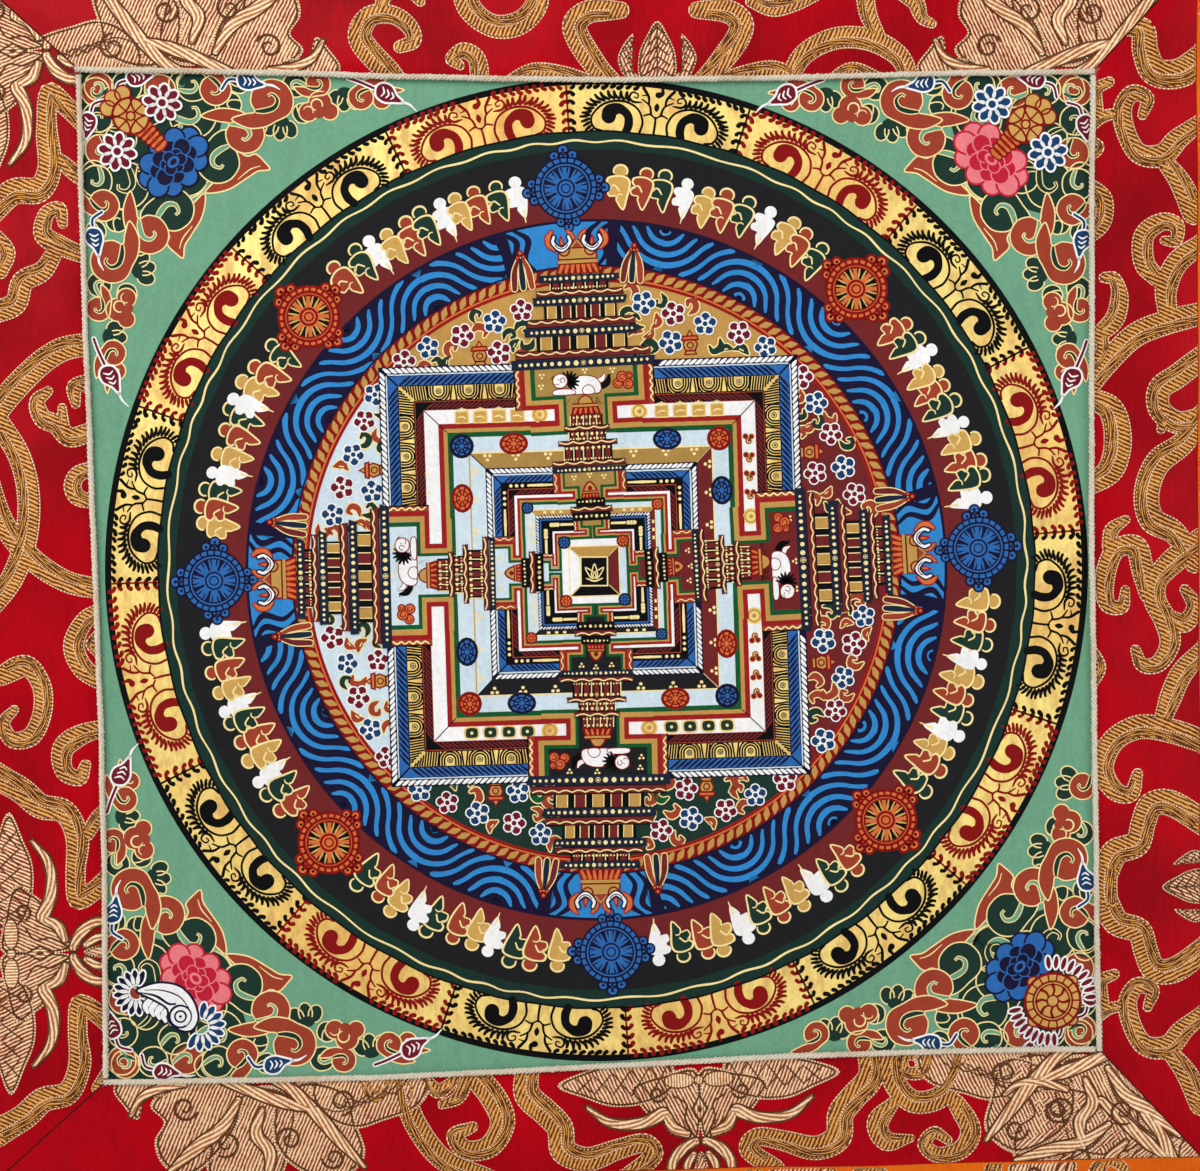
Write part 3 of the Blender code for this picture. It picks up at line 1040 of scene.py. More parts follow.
def paint_sky(palette):
    """The dark green vine ring, the black sky ring and the maroon earth ring with their wavy edges."""
    easel = mandala_easel()
    rng = random.Random(8)
    easel.ring(VINE_IN, FLAME_IN + 0.1, "pine", 3, step=1.5)
    easel.ring(SKY_IN - 0.3, VINE_IN + 0.5, "charcoal", 2)
    easel.ring(EARTH_IN - 0.3, SKY_IN + 0.2, "maroon", 1)
    for radius, width, paint in ((FLAME_IN, 0.55, "black"), (VINE_IN, 0.75, "pine")):
        a = np.radians(np.arange(0, 360, 1.2))
        r = radius + 0.15 * np.sin(a * 41 + np.sin(a * 5))
        easel.line(np.stack([r * np.cos(a), r * np.sin(a)], 1), width, paint, 4, closed=True)
    a = np.radians(np.arange(0, 360, 0.7))
    wave = np.sin(a * 52 + 1.3 * np.sin(a * 7) + 0.8 * np.sin(a * 11 + 1))
    r = 128.6 + 0.38 * wave + 0.25 * np.sin(a * 3 + 1)
    widths = [0.5 + 0.22 * rng.random() for _ in range(140)]
    easel.line(np.stack([r * np.cos(a), r * np.sin(a)], 1), widths, "cream", 5, closed=True)
    return piece("sky_and_earth_rings", easel, CANVAS_THICK / 2, PAINT_LAYER, palette)


def cloud_figure(easel, paint, layer, rng):
    """A small cloud-topped figure on a pointed foot."""

    def j():
        return rng.uniform(-0.18, 0.18)

    body = [
        (-2.5 + j(), 9.5), (0.2, 10.0 + j()), (2.5 + j(), 9.2), (3.0, 7.2), (2.3 + j(), 3.6),
        (1.1 + j(), 0.1), (-0.7, 2.8 + j()), (-0.7, 4.0), (-2.7, 4.1 + j()), (-3.1, 5.7),
        (-2.1, 6.8), (-3.1 + j(), 8.0),
    ]
    head = oval(3.5, 3.7, 0.5 + j(), 11.3, 10, 12)
    if paint == "white":
        easel.fill(head, "white", layer)
        easel.blob(body, "white", layer + 1, steps=4)
        easel.stroke([(1.0, 2.5), (0.9, 0.8), (0.8, -1.2)], [0.8, 0.5, 0.3], "cream", layer + 2, steps=2)
        return
    easel.fill(head, paint, layer)
    easel.line(arc(1.85, -35, 200, 20, 0.5, 11.3), [0.35, 0.6, 0.6, 0.4], "cream", layer + 1)
    outline = smooth(body, 4, closed=True)
    easel.fill(outline, paint, layer + 2)
    easel.line(outline, [0.5, 0.62, 0.5, 0.4, 0.62], "cream", layer + 3, closed=True)
    easel.stroke([(-3.0, 6.4), (-1.2, 7.2), (0.1, 5.6)], [0.3, 0.5, 0.45], "cream", layer + 3, steps=4)
    if rng.random() < 0.6:
        easel.stroke([(-0.7, 4.0), (0.2, 4.6), (1.0, 4.4)], [0.4, 0.4, 0.3], "cream", layer + 3, steps=3)


def paint_figures(palette):
    easel = mandala_easel()
    rng = random.Random(13)
    wheels = (*WHEEL_ANGLES, WHEEL_ANGLES[0] - 360)
    count = 11
    for k in range(8):
        start, end = wheels[k] - 8.1, wheels[k + 1] + 7.4
        for i in range(count):
            angle = start + (end - start) * i / (count - 1) + rng.uniform(-0.15, 0.15)
            drift = 0.7 * math.sin(i * 1.1) + rng.uniform(-0.4, 0.4)
            place = easel.bent(angle, FIGURE_FEET).moved(
                0, drift, rng.uniform(-4, 7), rng.uniform(0.94, 1.04)
            )
            order = i if k % 2 == 0 else i + 1
            cloud_figure(place, FIGURE_PAINTS[order % 4], 6 + 4 * (i % 2), rng)
    return piece("cloud_figures", easel, CANVAS_THICK / 2, PAINT_LAYER, palette)


def wheel(easel, light, dark, ink, ray, layer, bold):
    """An eight-spoked wheel in a ring of links, with a knot at each quarter. bold widens its lines."""
    for k in range(4):
        knot = easel.moved(turn=90 * k)
        for x, z, size in ((0, 11.6, 3.0), (-2.5, 9.9, 2.8), (2.5, 9.9, 2.8), (0, 9.4, 3.0)):
            knot.dot(x, z, size, light, layer, 12)
            knot.line(oval(size, size, x, z, points=12), 0.42 * bold, ink, layer + 1, closed=True)
            knot.dot(x, z, size * 0.32, dark, layer + 1)
    easel.ring(0, 9.3, light, layer + 2, step=12)
    links = 26
    for k in range(links):
        a = 360 / links * k
        c, s = math.cos(math.radians(a)), math.sin(math.radians(a))
        easel.line([(7.8 * c, 7.8 * s), (9.4 * c, 9.4 * s)], 0.42 * bold, ink, layer + 3)
    for radius, width in ((9.3, 0.45), (7.6, 0.5), (6.6, 0.4), (2.5, 0.45), (1.3, 0.3)):
        easel.line(arc(radius, 0, 360, 12)[:-1], width * bold, ink, layer + 3, closed=True)
    for k in range(8):
        spoke = easel.moved(turn=45 * k + 22.5)
        spoke.blob([(3.0, 0), (5.3, 1.6), (6.4, 1.2), (6.4, -1.2), (5.3, -1.6)], dark, layer + 3, steps=2)
        for lean in (-9, 9):
            spoke.moved(turn=lean).stroke(
                [(3.4, 0), (5.2, 0), (6.3, 0)], [0.35, 0.75, 0.4], ray, layer + 4, steps=2
            )


def paint_wheels(palette):
    easel = mandala_easel()
    for k, angle in enumerate(WHEEL_ANGLES):
        place = easel.bent(angle, WHEEL_MIDDLE).moved(size=0.97 if k % 2 else 1.0)
        if k % 2:
            wheel(place, "orange", "black", "crimson", "tan", 14, 1.7)
        else:
            wheel(place, "azure", "navy", "navy", "azure", 14, 1.2)
    return piece("wheels", easel, CANVAS_THICK / 2, PAINT_LAYER, palette)


def wave_lines(gap, depth, spacing):
    """Wave lines between a swell on the inner edge and one on the outer edge: arcs that meet halfway."""
    span = math.hypot(gap, depth)
    aim = math.atan2(depth, gap)
    first = span / 2 % spacing + 0.2
    for radius in np.arange(first, span, spacing):
        a = np.linspace(math.pi / 2, aim, 15)
        b = np.linspace(aim + math.pi, 1.5 * math.pi, 15)
        near = np.stack([radius * np.cos(a), radius * np.sin(a)], 1)
        far = np.stack([gap + (span - radius) * np.cos(b), depth + (span - radius) * np.sin(b)], 1)
        route = np.vstack([near, far[1:]])
        width = 1.15 + 0.75 * np.abs(np.linspace(-1, 1, len(route)))
        if radius > depth:
            inside = route[:, 1] < depth - 0.1
            route, width = route[inside], width[inside]
            width[0] *= 0.5
        if span - radius > depth:
            inside = route[:, 1] > 0.1
            route, width = route[inside], width[inside]
            width[-1] *= 0.5
        if len(route) > 6:
            yield route, width


def paint_waves(palette):
    """Bright blue waves that swell from both edges of the navy ring by turns."""
    easel = mandala_easel()
    rng = random.Random(44)
    depth = EARTH_IN - WAVE_IN
    easel.ring(WAVE_IN - 0.2, EARTH_IN, "navy", 4)
    gates = (*WHEEL_ANGLES[::2], WHEEL_ANGLES[0] - 360)
    nudges = (2.0, 0.5, -1.5, 1.0, 2.0)
    for quarter in range(4):
        start = gates[quarter] + nudges[quarter]
        end = gates[quarter + 1] + nudges[quarter + 1]
        gap_angle = (start - end - 20.0) / 4.5
        gap = math.radians(gap_angle) * WAVE_IN
        for k in range(-1, 5):
            inner = start - 10.0 - gap_angle * (k + (0.5 if k % 2 else 1.5))
            local = easel.bent(inner, WAVE_IN).moved(flip=k % 2 == 0)
            for route, width in wave_lines(gap, depth, 3.25):
                local.line(
                    route + (0, rng.uniform(-0.15, 0.15)), width * rng.uniform(0.92, 1.06), "sky", 5, step=50
                )
            local.dot(0.0, 0.5, 2.2, "navy", 6, 14)
            local.dot(gap, depth - 0.5, 2.2, "navy", 6, 14)
            local.fill([(gap - 1.6, 0.1), (gap + 1.6, 0.1), (gap + 0.2, 1.9)], "sky", 6)
            local.fill([(-1.6, depth - 0.1), (1.6, depth - 0.1), (0.2, depth - 1.9)], "sky", 6)
        sky = easel.bent(start, WAVE_IN)
        sky.field(box(-13.5, -0.1, 13.5, depth + 0.1), "sky", 8, 4)
        for side in halves(sky):
            side.line([(15.0, 0), (14.6, depth / 2), (15.4, depth)], 3.4, "navy", 8, step=4)
            for k in range(2):
                x = 9.2 + 3.2 * k
                bends = [(x + 2.2, depth), (x - 1.0, depth * 0.72), (x + 0.8, depth * 0.3), (x - 1.4, 0)]
                side.stroke(bends, [0.9, 1.8, 1.5, 1.0], "navy", 9, steps=5)
    easel.ring(EARTH_IN - 0.1, EARTH_IN + 0.7, "navy", 10, step=1.5)
    easel.line(arc(WAVE_IN, 0, 360, 1.5)[:-1], 0.5, "navy", 10, closed=True)
    return piece("wave_ring", easel, CANVAS_THICK / 2, PAINT_LAYER, palette)


def paint_garland(palette):
    """A ring of slanted ochre leaves between red lines."""
    easel = mandala_easel()
    rng = random.Random(21)
    easel.ring(GARLAND_IN - 0.9, WAVE_IN, "crimson", 3)
    easel.line(arc(GARLAND_IN, 0, 360, 1.5)[:-1], 0.5, "orange", 4, closed=True)
    count = 176
    for k in range(count):
        local = easel.bent(360 / count * k, GARLAND_MIDDLE)
        lean = 34 + rng.uniform(-6, 6)
        local.moved(turn=lean).stroke(
            [(-1.7, -0.4), (0, 0), (1.6, 0.35)], [0.9, 2.1, 0.5], "ochre", 4, steps=3
        )
    easel.line(arc(GARLAND_IN - 0.9, 0, 360, 1.5)[:-1], 0.45, "red", 5, closed=True)
    return piece("garland_ring", easel, CANVAS_THICK / 2, PAINT_LAYER, palette)


# ---------------------------------------------------------------- the flower banks round the palace


def small_flower(easel, petal, layer, rng):
    """Five round petals and a heart, each with a white outline."""
    turn = rng.uniform(0, 72)
    petals = [easel.moved(turn=turn + 72 * k) for k in range(5)]
    outline = oval(3.1, 3.0, 2.1, 0, points=12)
    for local in petals:
        local.fill(outline, petal, layer)
    for local in petals:
        local.line(outline, 0.40, "white", layer + 1, closed=True)
    easel.dot(0, 0, 2.0, petal, layer + 2, 10)
    easel.line(oval(2.0, 2.0, points=10), 0.42, "white", layer + 3, closed=True)


def small_curl(easel, paint, layer, rng):
    """A little scrolled leaf with a cream outline, of one of three shapes."""
    shapes = (
        ([(-2.0, 1.0), (0.0, 1.9), (1.7, 0.4), (0.7, -1.0)], [0.5, 1.9, 1.7, 0.6], 0.34),
        ([(-1.8, -0.6), (-0.2, 0.9), (1.6, 0.5)], [0.5, 2.3, 0.5], 0.34),
        ([(-1.9, 0.4), (-0.6, -1.1), (1.2, -0.9), (1.5, 0.8), (0.3, 0.9)], [0.4, 1.4, 1.7, 1.2, 0.7], 0.32),
    )
    kind = rng.randrange(3)
    route, widths, rim = shapes[kind]
    easel.stroke(route, widths, paint, layer, "cream", rim)
    if kind == 1:
        easel.stroke([(-0.6, 0.2), (0.3, 0.6)], [0.3, 0.3], "cream", layer + 2, steps=2)


def small_vase(easel, layer):
    """A little red offering vase on a foot, outlined in crimson."""
    for shape, paint in (
        ([(-1.9, 0), (1.9, 0), (1.4, 1.1), (-1.4, 1.1)], "ochre"),
        ([(-1.5, 1.2), (1.5, 1.2), (2.3, 3.2), (1.7, 4.6), (-1.7, 4.6), (-2.3, 3.2)], "ochre"),
        ([(-2.6, 4.7), (2.6, 4.7), (2.3, 5.9), (-2.3, 5.9)], "orange"),
        ([(-1.0, 6.0), (1.0, 6.0), (0.0, 7.8)], "ochre"),
    ):
        easel.fill(shape, paint, layer)
        easel.line(np.array(shape, float), 0.5, "crimson", layer + 1, closed=True)
    easel.line(arc(1.0, 0, 360, 40, 0, 2.9)[:-1], 0.45, "crimson", layer + 1, closed=True)


# Flowers on one half of a bank, as (away from the gate's axis, out from the palace's middle, wine or blue).
BANK_FLOWERS = (
    (18.2, 79.0, "blue"), (26.6, 75.6, "wine"), (36.6, 72.4, "blue"),
    (46.6, 68.6, "wine"), (54.6, 64.6, "blue"), (25.4, 66.6, "blue"),
)
BANK_PAINTS = ("ochre", "maroon", "forest", "ice")


def flower_bank(mandala, side, turn, rng):
    """The field between one side of the palace and the garland ring, planted on both sides of the gate."""
    start = 47 - 90 * side
    mandala.ring(0, GARLAND_IN, BANK_PAINTS[side], 1, start, start + 90)
    local = mandala.moved(turn=turn - 90 * side)
    planted = []
    for flip in (False, True):
        half = local.moved(flip=flip)
        small_vase(half.moved(31.6, 63.0, 0, 0.92), 12)
        planted.append((31.6 * (-1 if flip else 1), 66.5, 4.2))
        for x, z, petal in BANK_FLOWERS:
            x, z = x + rng.uniform(-0.6, 0.6), z + rng.uniform(-0.6, 0.6)
            if flip:
                petal = "wine" if petal == "blue" else "blue"
            small_flower(half.moved(x, z, 0, rng.uniform(0.92, 1.03)), petal, 8, rng)
            planted.append((-x if flip else x, z, 3.6))
    for _ in range(1400):
        x, z = rng.uniform(-64, 64), rng.uniform(62.8, 86)
        if math.hypot(x, z) > GARLAND_IN - 3.0 or abs(x) < 15.0 - (z - 62) * 0.12:
            continue
        if abs(x) > 60.0 and z < 63.5:
            continue
        if any(math.hypot(x - a, z - b) < r + 1.6 for a, b, r in planted):
            continue
        planted.append((x, z, 1.75))
        paint = "rust" if rng.random() < 0.55 else "forest"
        if BANK_PAINTS[side] == "forest" and paint == "forest":
            paint = "rust" if rng.random() < 0.5 else "green"
        turn, size, flip = rng.uniform(0, 360), rng.uniform(1.0, 1.25), rng.random() < 0.5
        small_curl(local.moved(x, z, turn, size, flip), paint, 4, rng)


def paint_banks(palette):
    easel = mandala_easel()
    rng = random.Random(34)
    for side, turn in enumerate((3.0, 3.2, 1.2, 1.6)):
        flower_bank(easel, side, turn, rng)
    return piece("flower_banks", easel, CANVAS_THICK / 2, PAINT_LAYER, palette)


def paint_rings(palette):
    painters = paint_flames, paint_sky, paint_figures, paint_wheels, paint_waves, paint_garland, paint_banks
    made = [painter(palette) for painter in painters]
    return made


# ---------------------------------------------------------------- the palace

PALACE = (3.75, -199.05)
FLOOR_PAINTS = ("floor_ochre", "maroon", "charcoal", "ice")
INNER_FLOORS = ("ochre", "maroon", "charcoal", "ice")
INMOST_FLOORS = ("ochre", "maroon", "black", "white")
GATE_TURNS = (1.3, 1.3, -0.7, -0.3)


def band(local, near, far, gap, paint, layer):
    """A stretch of wall on both sides of a gate, mitred at the palace's corners."""
    for half in halves(local):
        half.field([(gap, near), (near, near), (far, far), (gap, far)], paint, layer)


def rail(local, out, gap, width, paint, layer):
    """A thin line along the wall on both sides of a gate."""
    for half in halves(local):
        half.line([(gap, out), (out + width / 2, out)], width, paint, layer)


def mitre_line(local, near, far, width, paint, layer):
    """A line along the wall's mitre at both of its corners."""
    for half in halves(local):
        half.line([(near, near), (far, far)], width, paint, layer)


def slants(local, near, far, gap, pitch, width, paint, layer, rng, lean=0.9):
    """Slanted strokes along a band, leaning away from the gate."""
    height = far - near
    for half in halves(local):
        count = int((far - gap) / pitch)
        for k in range(count):
            x = gap + 0.2 + pitch * (k + 0.5) + rng.uniform(-0.08, 0.08)
            foot, tip = x - lean * height / 2, x + lean * height / 2
            if foot > near + 0.2 or tip > far or min(foot, tip) < gap:
                continue
            widths = [width * 0.55, width * rng.uniform(0.9, 1.1), width * 0.45]
            middle = ((foot + tip) / 2 + 0.08, (near + far) / 2)
            route = [(foot, near + 0.12), middle, (tip, far - 0.12)]
            half.line(route, widths, paint, layer)


def ropes(local, bands, gap, layer, rng):
    """The paired ropes round a palace: white leaves on navy, a pale line, and navy strokes on blue."""
    (white_far, white_near), (blue_far, blue_near) = bands
    thick = white_far - white_near
    band(local, white_near, white_far, gap, "navy", layer)
    slants(
        local, white_near, white_far, gap, max(thick * 0.95, 1.25), thick * 0.56, "white", layer + 1, rng,
        1.15,
    )
    band(local, blue_near, white_near, gap, "azure", layer)
    slants(
        local, blue_near, blue_far, gap, max(thick * 0.95, 1.2), thick * 0.42, "navy", layer + 1, rng, -1.15
    )
    mitre_line(local, blue_near, white_far, thick * 0.26, "navy", layer + 3)
    rail(local, white_near, gap, 0.32, "navy", layer + 2)
    rail(local, white_far, gap, 0.3, "navy", layer + 2)
    rail(local, (blue_far + white_near) / 2, gap, (white_near - blue_far) * 0.8, "ice", layer + 2)
    rail(local, blue_far, gap, 0.26, "navy", layer + 2)
    rail(local, blue_near, gap, 0.34, "navy", layer + 2)


def ringed_band(local, near, far, gap, layer):
    """Gold with rings hung from its outer edge and close lines that flow round them."""
    band(local, near, far, gap, "gold", layer)
    for half in halves(local):
        centres = [gap + 7.2, gap + 16.5, gap + 25.5]
        step = 0.78
        high = far - 1.75
        for c in centres:
            half.dot(c, high, 1.5, "cream", layer + 1, 12)
            half.line(arc(0.75, 0, 360, 36, c, high)[:-1], 0.34, "black", layer + 1, closed=True)
            half.line(arc(0.3, 0, 360, 60, c, high)[:-1], 0.26, "black", layer + 2, closed=True)
            for k in range(1, 4):
                r = 0.9 + step * k
                reach = math.degrees(math.asin(min(1, (high - near - 0.1) / r)))
                if reach > 89:
                    route = np.vstack(
                        [[(c - r, far - 0.1)], arc(r, 180, 360, 18, c, high), [(c + r, far - 0.1)]]
                    )
                    half.line(route, 0.52, "black", layer + 1)
                else:
                    for way in (-1, 1):
                        a = np.radians(np.linspace(0, reach, 5))
                        side = np.stack([c + way * r * np.cos(a), high - r * np.sin(a)], 1)
                        half.line(np.vstack([[(c + way * r, far - 0.1)], side]), 0.52, "black", layer + 1)
        x = gap + 0.4
        while x < far - 0.6:
            away = min(abs(x - c) for c in centres)
            if away > 0.8 + 3.6 * step:
                bow = 0.3 if min(centres, key=lambda c: abs(x - c)) < x else -0.3
                low = max(near, x)
                route = [(x, far - 0.1), (x - bow, (far + low) / 2), (x - 2 * bow, low + 0.1)]
                half.line(route, 0.52, "black", layer + 1)
            x += step
        half.line([(near, near), (far, far)], 0.35, "cream", layer + 3)
    rail(local, near, gap, 0.34, "black", layer + 2)


def hatched(local, near, far, gap, layer, rng):
    """Black with dim red leaves between two thin red rails."""
    band(local, near, far, gap, "black", layer)
    slants(local, near + 0.2, far - 0.3, gap, 1.5, 0.62, "maroon", layer + 1, rng, -1.3)
    rail(local, near + 0.1, gap, 0.24, "rust", layer + 2)
    rail(local, far - 0.15, gap, 0.3, "rust", layer + 2)


def barred(local, near, far, gap, layer):
    """Black with a cream bar and three dots on each side of the gate."""
    band(local, near, far, gap, "black", layer)
    middle, size = (near + far) / 2, (far - near) * 0.55
    for half in halves(local):
        room = near - gap
        widths = [size * 0.5, size * 0.8, size * 0.6]
        half.line([(gap + 0.4, middle), (gap + room * 0.6, middle)], widths, "cream", layer + 1)
        for k in range(3):
            half.dot(gap + room * (0.70 + 0.115 * k), middle, size, "cream", layer + 1)


def trefoil(local, x, z, size, layer):
    """Three cream dots in a triangle."""
    for a, b in ((-0.72, 0.35), (0.72, 0.4), (0.0, -0.85)):
        local.fill(oval(size * 1.05, size * 0.95, x + a * size, z + b * size, points=8), "cream", layer)


def squiggle(local, x, low, high, width, paint, layer, swing):
    """An upright zigzag with soft bends."""
    count = max(4, int((high - low) / 1.1))
    route = [(x + swing * (-1) ** k * 0.6, low + (high - low) * k / count) for k in range(count + 1)]
    local.stroke(route, [width * 0.7, width, width * 0.7, width], paint, layer, steps=3)


def pearls(local, x0, x1, z, size, layer, rng):
    """A row of dots that shrink towards both ends, with a ringed one in the middle."""
    centre, half = (x0 + x1) / 2, (x1 - x0) / 2
    x = size * 1.45
    row = [0.0]
    while x < half - 0.3:
        row += [x, -x]
        x += size * (1.75 - 0.75 * x / half)
    for x in row:
        s = size * (1.05 - 0.5 * abs(x) / half) * rng.uniform(0.88, 1.1)
        local.fill(oval(s, s * 1.05, centre + x, z + rng.uniform(-0.05, 0.05), points=8), "cream", layer)
    local.line(
        oval(size * 0.7, size * 0.7, centre, z, points=8), size * 0.16, "black", layer + 1, closed=True
    )


def navy_beam(local, half, low, high, layer, rng, ends=0.5):
    """A navy beam with a row of pearls, its ends a little askew."""
    outline = [
        (-half, low + 0.1), (half - ends, low), (half + ends * 0.6, high - 0.3), (-half - ends * 0.4, high)
    ]
    local.field(outline, "beam", layer)
    pearls(local, -half + 0.6, half - 0.4, (low + high) / 2, (high - low) * 0.5, layer + 1, rng)


def eave(local, half, low, high, layer):
    """A maroon roof with a scalloped cream line near its top edge."""
    local.field([(-half, low), (half + 0.3, low), (half, high), (-half, high)], "maroon", layer)
    local.line([(-half, high), (half + 0.2, high)], 0.28, "black", layer + 1)
    count = max(3, round(half * 2 / 4.1))
    route = []
    for k in range(count * 4 + 1):
        x = -half + 0.3 + (2 * half - 0.6) * k / (count * 4)
        lift = abs(math.sin(math.pi * k / 4)) * 0.42
        route.append((x, low + (high - low) * 0.72 - lift * 1.4 + 0.2))
    local.line(smooth(route, 2), 0.38, "cream", layer + 2)
    local.line([(-half, low + 0.12), (half, low + 0.12)], 0.22, "black", layer + 2)


def storey(local, half, low, high, layer, panes, rng):
    """Panels between dark pillars with cream edges."""
    local.field(box(-half, low, half, high), "black", layer)
    wide = 2 * half / panes
    for k in range(panes):
        x = -half + wide * k
        pale = half > 9 and k in (0, panes - 1) or half > 12 and k == panes // 2
        paint = "ochre" if pale else "maroon"
        local.field(box(x + wide * 0.26, low + 0.2, x + wide * 0.78, high - 0.1), paint, layer + 1)
        for side in (0.22, 0.82) if half > 9 else (0.02,):
            local.line(
                [(x + wide * side, low + 0.25), (x + wide * side + 0.08, high - 0.2)], 0.3, "cream", layer + 2
            )
    if half < 9:
        pearls(local, -half, half, low + 0.75, 0.7, layer + 3, rng)


def lotus_roof(local, half, low, high, layer):
    """A flared roof of ochre petals in crimson outline."""
    flare = half * 0.16
    middle = low + (high - low) * 0.68
    local.field(
        [(-half - flare, low), (half + flare, low), (half, middle), (-half, middle)], "crimson", layer
    )
    local.field(box(-half, middle, half, high), "ochre", layer)
    local.line([(-half, high), (half, high)], 0.4, "crimson", layer + 1)
    local.line([(-half, middle), (half, middle)], 0.4, "crimson", layer + 1)
    count = max(5, round(half / 0.8))
    for k in range(count):
        t = (k + 0.5) / count * 2 - 1
        top, foot = t * half * 0.92, t * (half + flare) * 0.95
        local.stroke(
            [(foot, low + 0.5), (top, middle - 0.4)], [half * 0.13, half * 0.19], "orange", layer + 1, steps=2
        )


def crescent(local, x, z, size, layer):
    """A white moon that cradles a red jewel."""
    moon = np.array([(-0.95, 0.7), (-1.1, -0.1), (0, -1), (1.1, -0.1), (0.95, 0.7)]) * size + (x, z)
    local.stroke(moon, [0.7, 0.95, 1.15, 0.95, 0.7], "white", layer, "navy", 0.45)
    local.line(arc(size * 0.9, 200, 340, 20, x, z), 0.3, "navy", layer + 2)
    local.blob([(x - 0.75, z - 0.6), (x + 0.75, z - 0.6), (x + 0.15, z + 2.1)], "red", layer + 1)
    local.stroke([(x - 0.1, z - 0.5), (x, z + 0.8)], [0.7, 0.3], "orange", layer + 2, steps=2)


def crown(local, layer):
    """The roof ridge over an outer gate: two bosses, two moons and four flames on a patch of sky."""
    local.field(box(-5.7, 93.6, 5.7, 97.0), "ochre", layer)
    local.line(box(-5.7, 93.6, 5.7, 97.0), 0.45, "crimson", layer + 1, closed=True)
    local.field([(-2.2, 97.0), (2.2, 97.0), (1.4, 99.6), (-1.4, 99.6)], "rust", layer + 1)
    local.line([(-1.8, 97.2), (0, 99.2), (1.8, 97.2)], 0.4, "ochre", layer + 2)
    for x in (-3.9, 3.9):
        local.dot(x, 96.3, 3.2, "ochre", layer + 2, 12)
        local.line(oval(3.2, 3.2, x, 96.3), 0.5, "crimson", layer + 3, closed=True)
        local.dot(x, 96.2, 1.2, "orange", layer + 3)
    for half in halves(local):
        for route, widths in (
            ([(6.9, 97.0), (8.4, 98.6), (8.5, 100.6), (7.3, 102.2)], [1.2, 1.7, 1.4, 0.5]),
            ([(1.6, 98.4), (1.3, 100.2), (2.6, 102.2)], [1.2, 1.3, 0.5]),
        ):
            half.stroke(route, widths, "orange", layer, "red", 0.35)
        crescent(half, 4.6, 98.9, 2.3, layer + 4)


def banner(local, x, low, high, lean, layer):
    """A hanging banner of striped silk under a knob."""
    cloth = local.moved(x, low, lean)
    tall = high - low
    stripes = (("maroon", -2.35), ("beam", -0.2), ("rust", 1.95))
    for paint, at in stripes:
        foot = at * 1.22
        points = [(at * 0.35, tall * 0.80), (at * 0.95, tall * 0.5), (foot, 0.6)]
        cloth.stroke(points, [0.9, 1.8, 1.5], paint, layer, "cream", 0.3)
    for a, b, size in ((0, tall * 0.97, 1.9), (-0.9, tall * 0.86, 1.5), (0.9, tall * 0.86, 1.5)):
        cloth.dot(a, b, size, "crimson", layer + 3, 10)
        cloth.dot(a, b, size * 0.45, "orange", layer + 4)


def lying_lion(gate, x, z, size, layer, flip=False):
    """A small white snow lion lying down, with a dark mane and tail and crimson outlines."""
    e = gate.moved(x, z, 0, size, flip)
    body = [
        (-6.2, 0.5), (-6.0, 3.4), (-4.0, 5.8), (-0.5, 6.3), (2.6, 5.4), (4.2, 3.2), (3.8, 0.6), (0.0, 0.25)
    ]
    e.stroke([(2.8, 3.0), (4.9, 2.6), (6.6, 4.0), (7.0, 6.0)], [1.5, 2.0, 2.1, 0.8], "black", layer)
    for k in range(4):
        e.stroke(
            [(5.2 + 0.5 * k, 3.2 + 0.8 * k), (7.3 + 0.2 * k, 3.0 + 1.1 * k)], [0.6, 0.2], "black", layer,
            steps=2,
        )
    e.stroke([(3.2, 4.3), (4.8, 4.8), (5.6, 6.3)], [1.1, 1.4, 0.4], "white", layer + 1, "crimson", 0.2)
    e.blob(body, "white", layer + 3, "crimson", 0.3)
    e.blob(
        [(-10.8, 0.3), (-11.4, 1.6), (-9.0, 2.2), (-5.0, 1.9), (-4.4, 0.4)], "white", layer + 5, "crimson",
        0.28,
    )
    e.blob(
        [(-1.4, 0.3), (-1.6, 2.2), (0.2, 3.2), (1.8, 2.2), (1.9, 0.3)], "white", layer + 5, "crimson", 0.28
    )
    mane = e.moved(-6.2, 4.6)
    for k in range(9):
        a = math.radians(-75 + 24 * k)
        c, s = math.cos(a), math.sin(a)
        mane.stroke([(0.6 * c, 0.6 * s), (3.5 * c, 3.3 * s)], [1.7, 0.5], "black", layer + 5, steps=2)
    head = [(-11.2, 4.1), (-10.9, 6.2), (-8.9, 7.2), (-7.0, 6.3), (-6.6, 4.4), (-7.8, 2.8), (-10.0, 2.7)]
    e.blob(head, "white", layer + 7, "crimson", 0.3)
    e.line(arc(0.8, -40, 260, 30, -8.1, 5.0), 0.26, "crimson", layer + 9)
    e.dot(-9.5, 5.3, 0.42, "black", layer + 9, 6)
    e.line([(-11.2, 4.0), (-10.2, 3.6), (-9.2, 3.9)], 0.24, "crimson", layer + 9)
    e.stroke([(-11.0, 6.4), (-11.9, 5.6)], [0.4, 0.2], "crimson", layer + 9, steps=2)


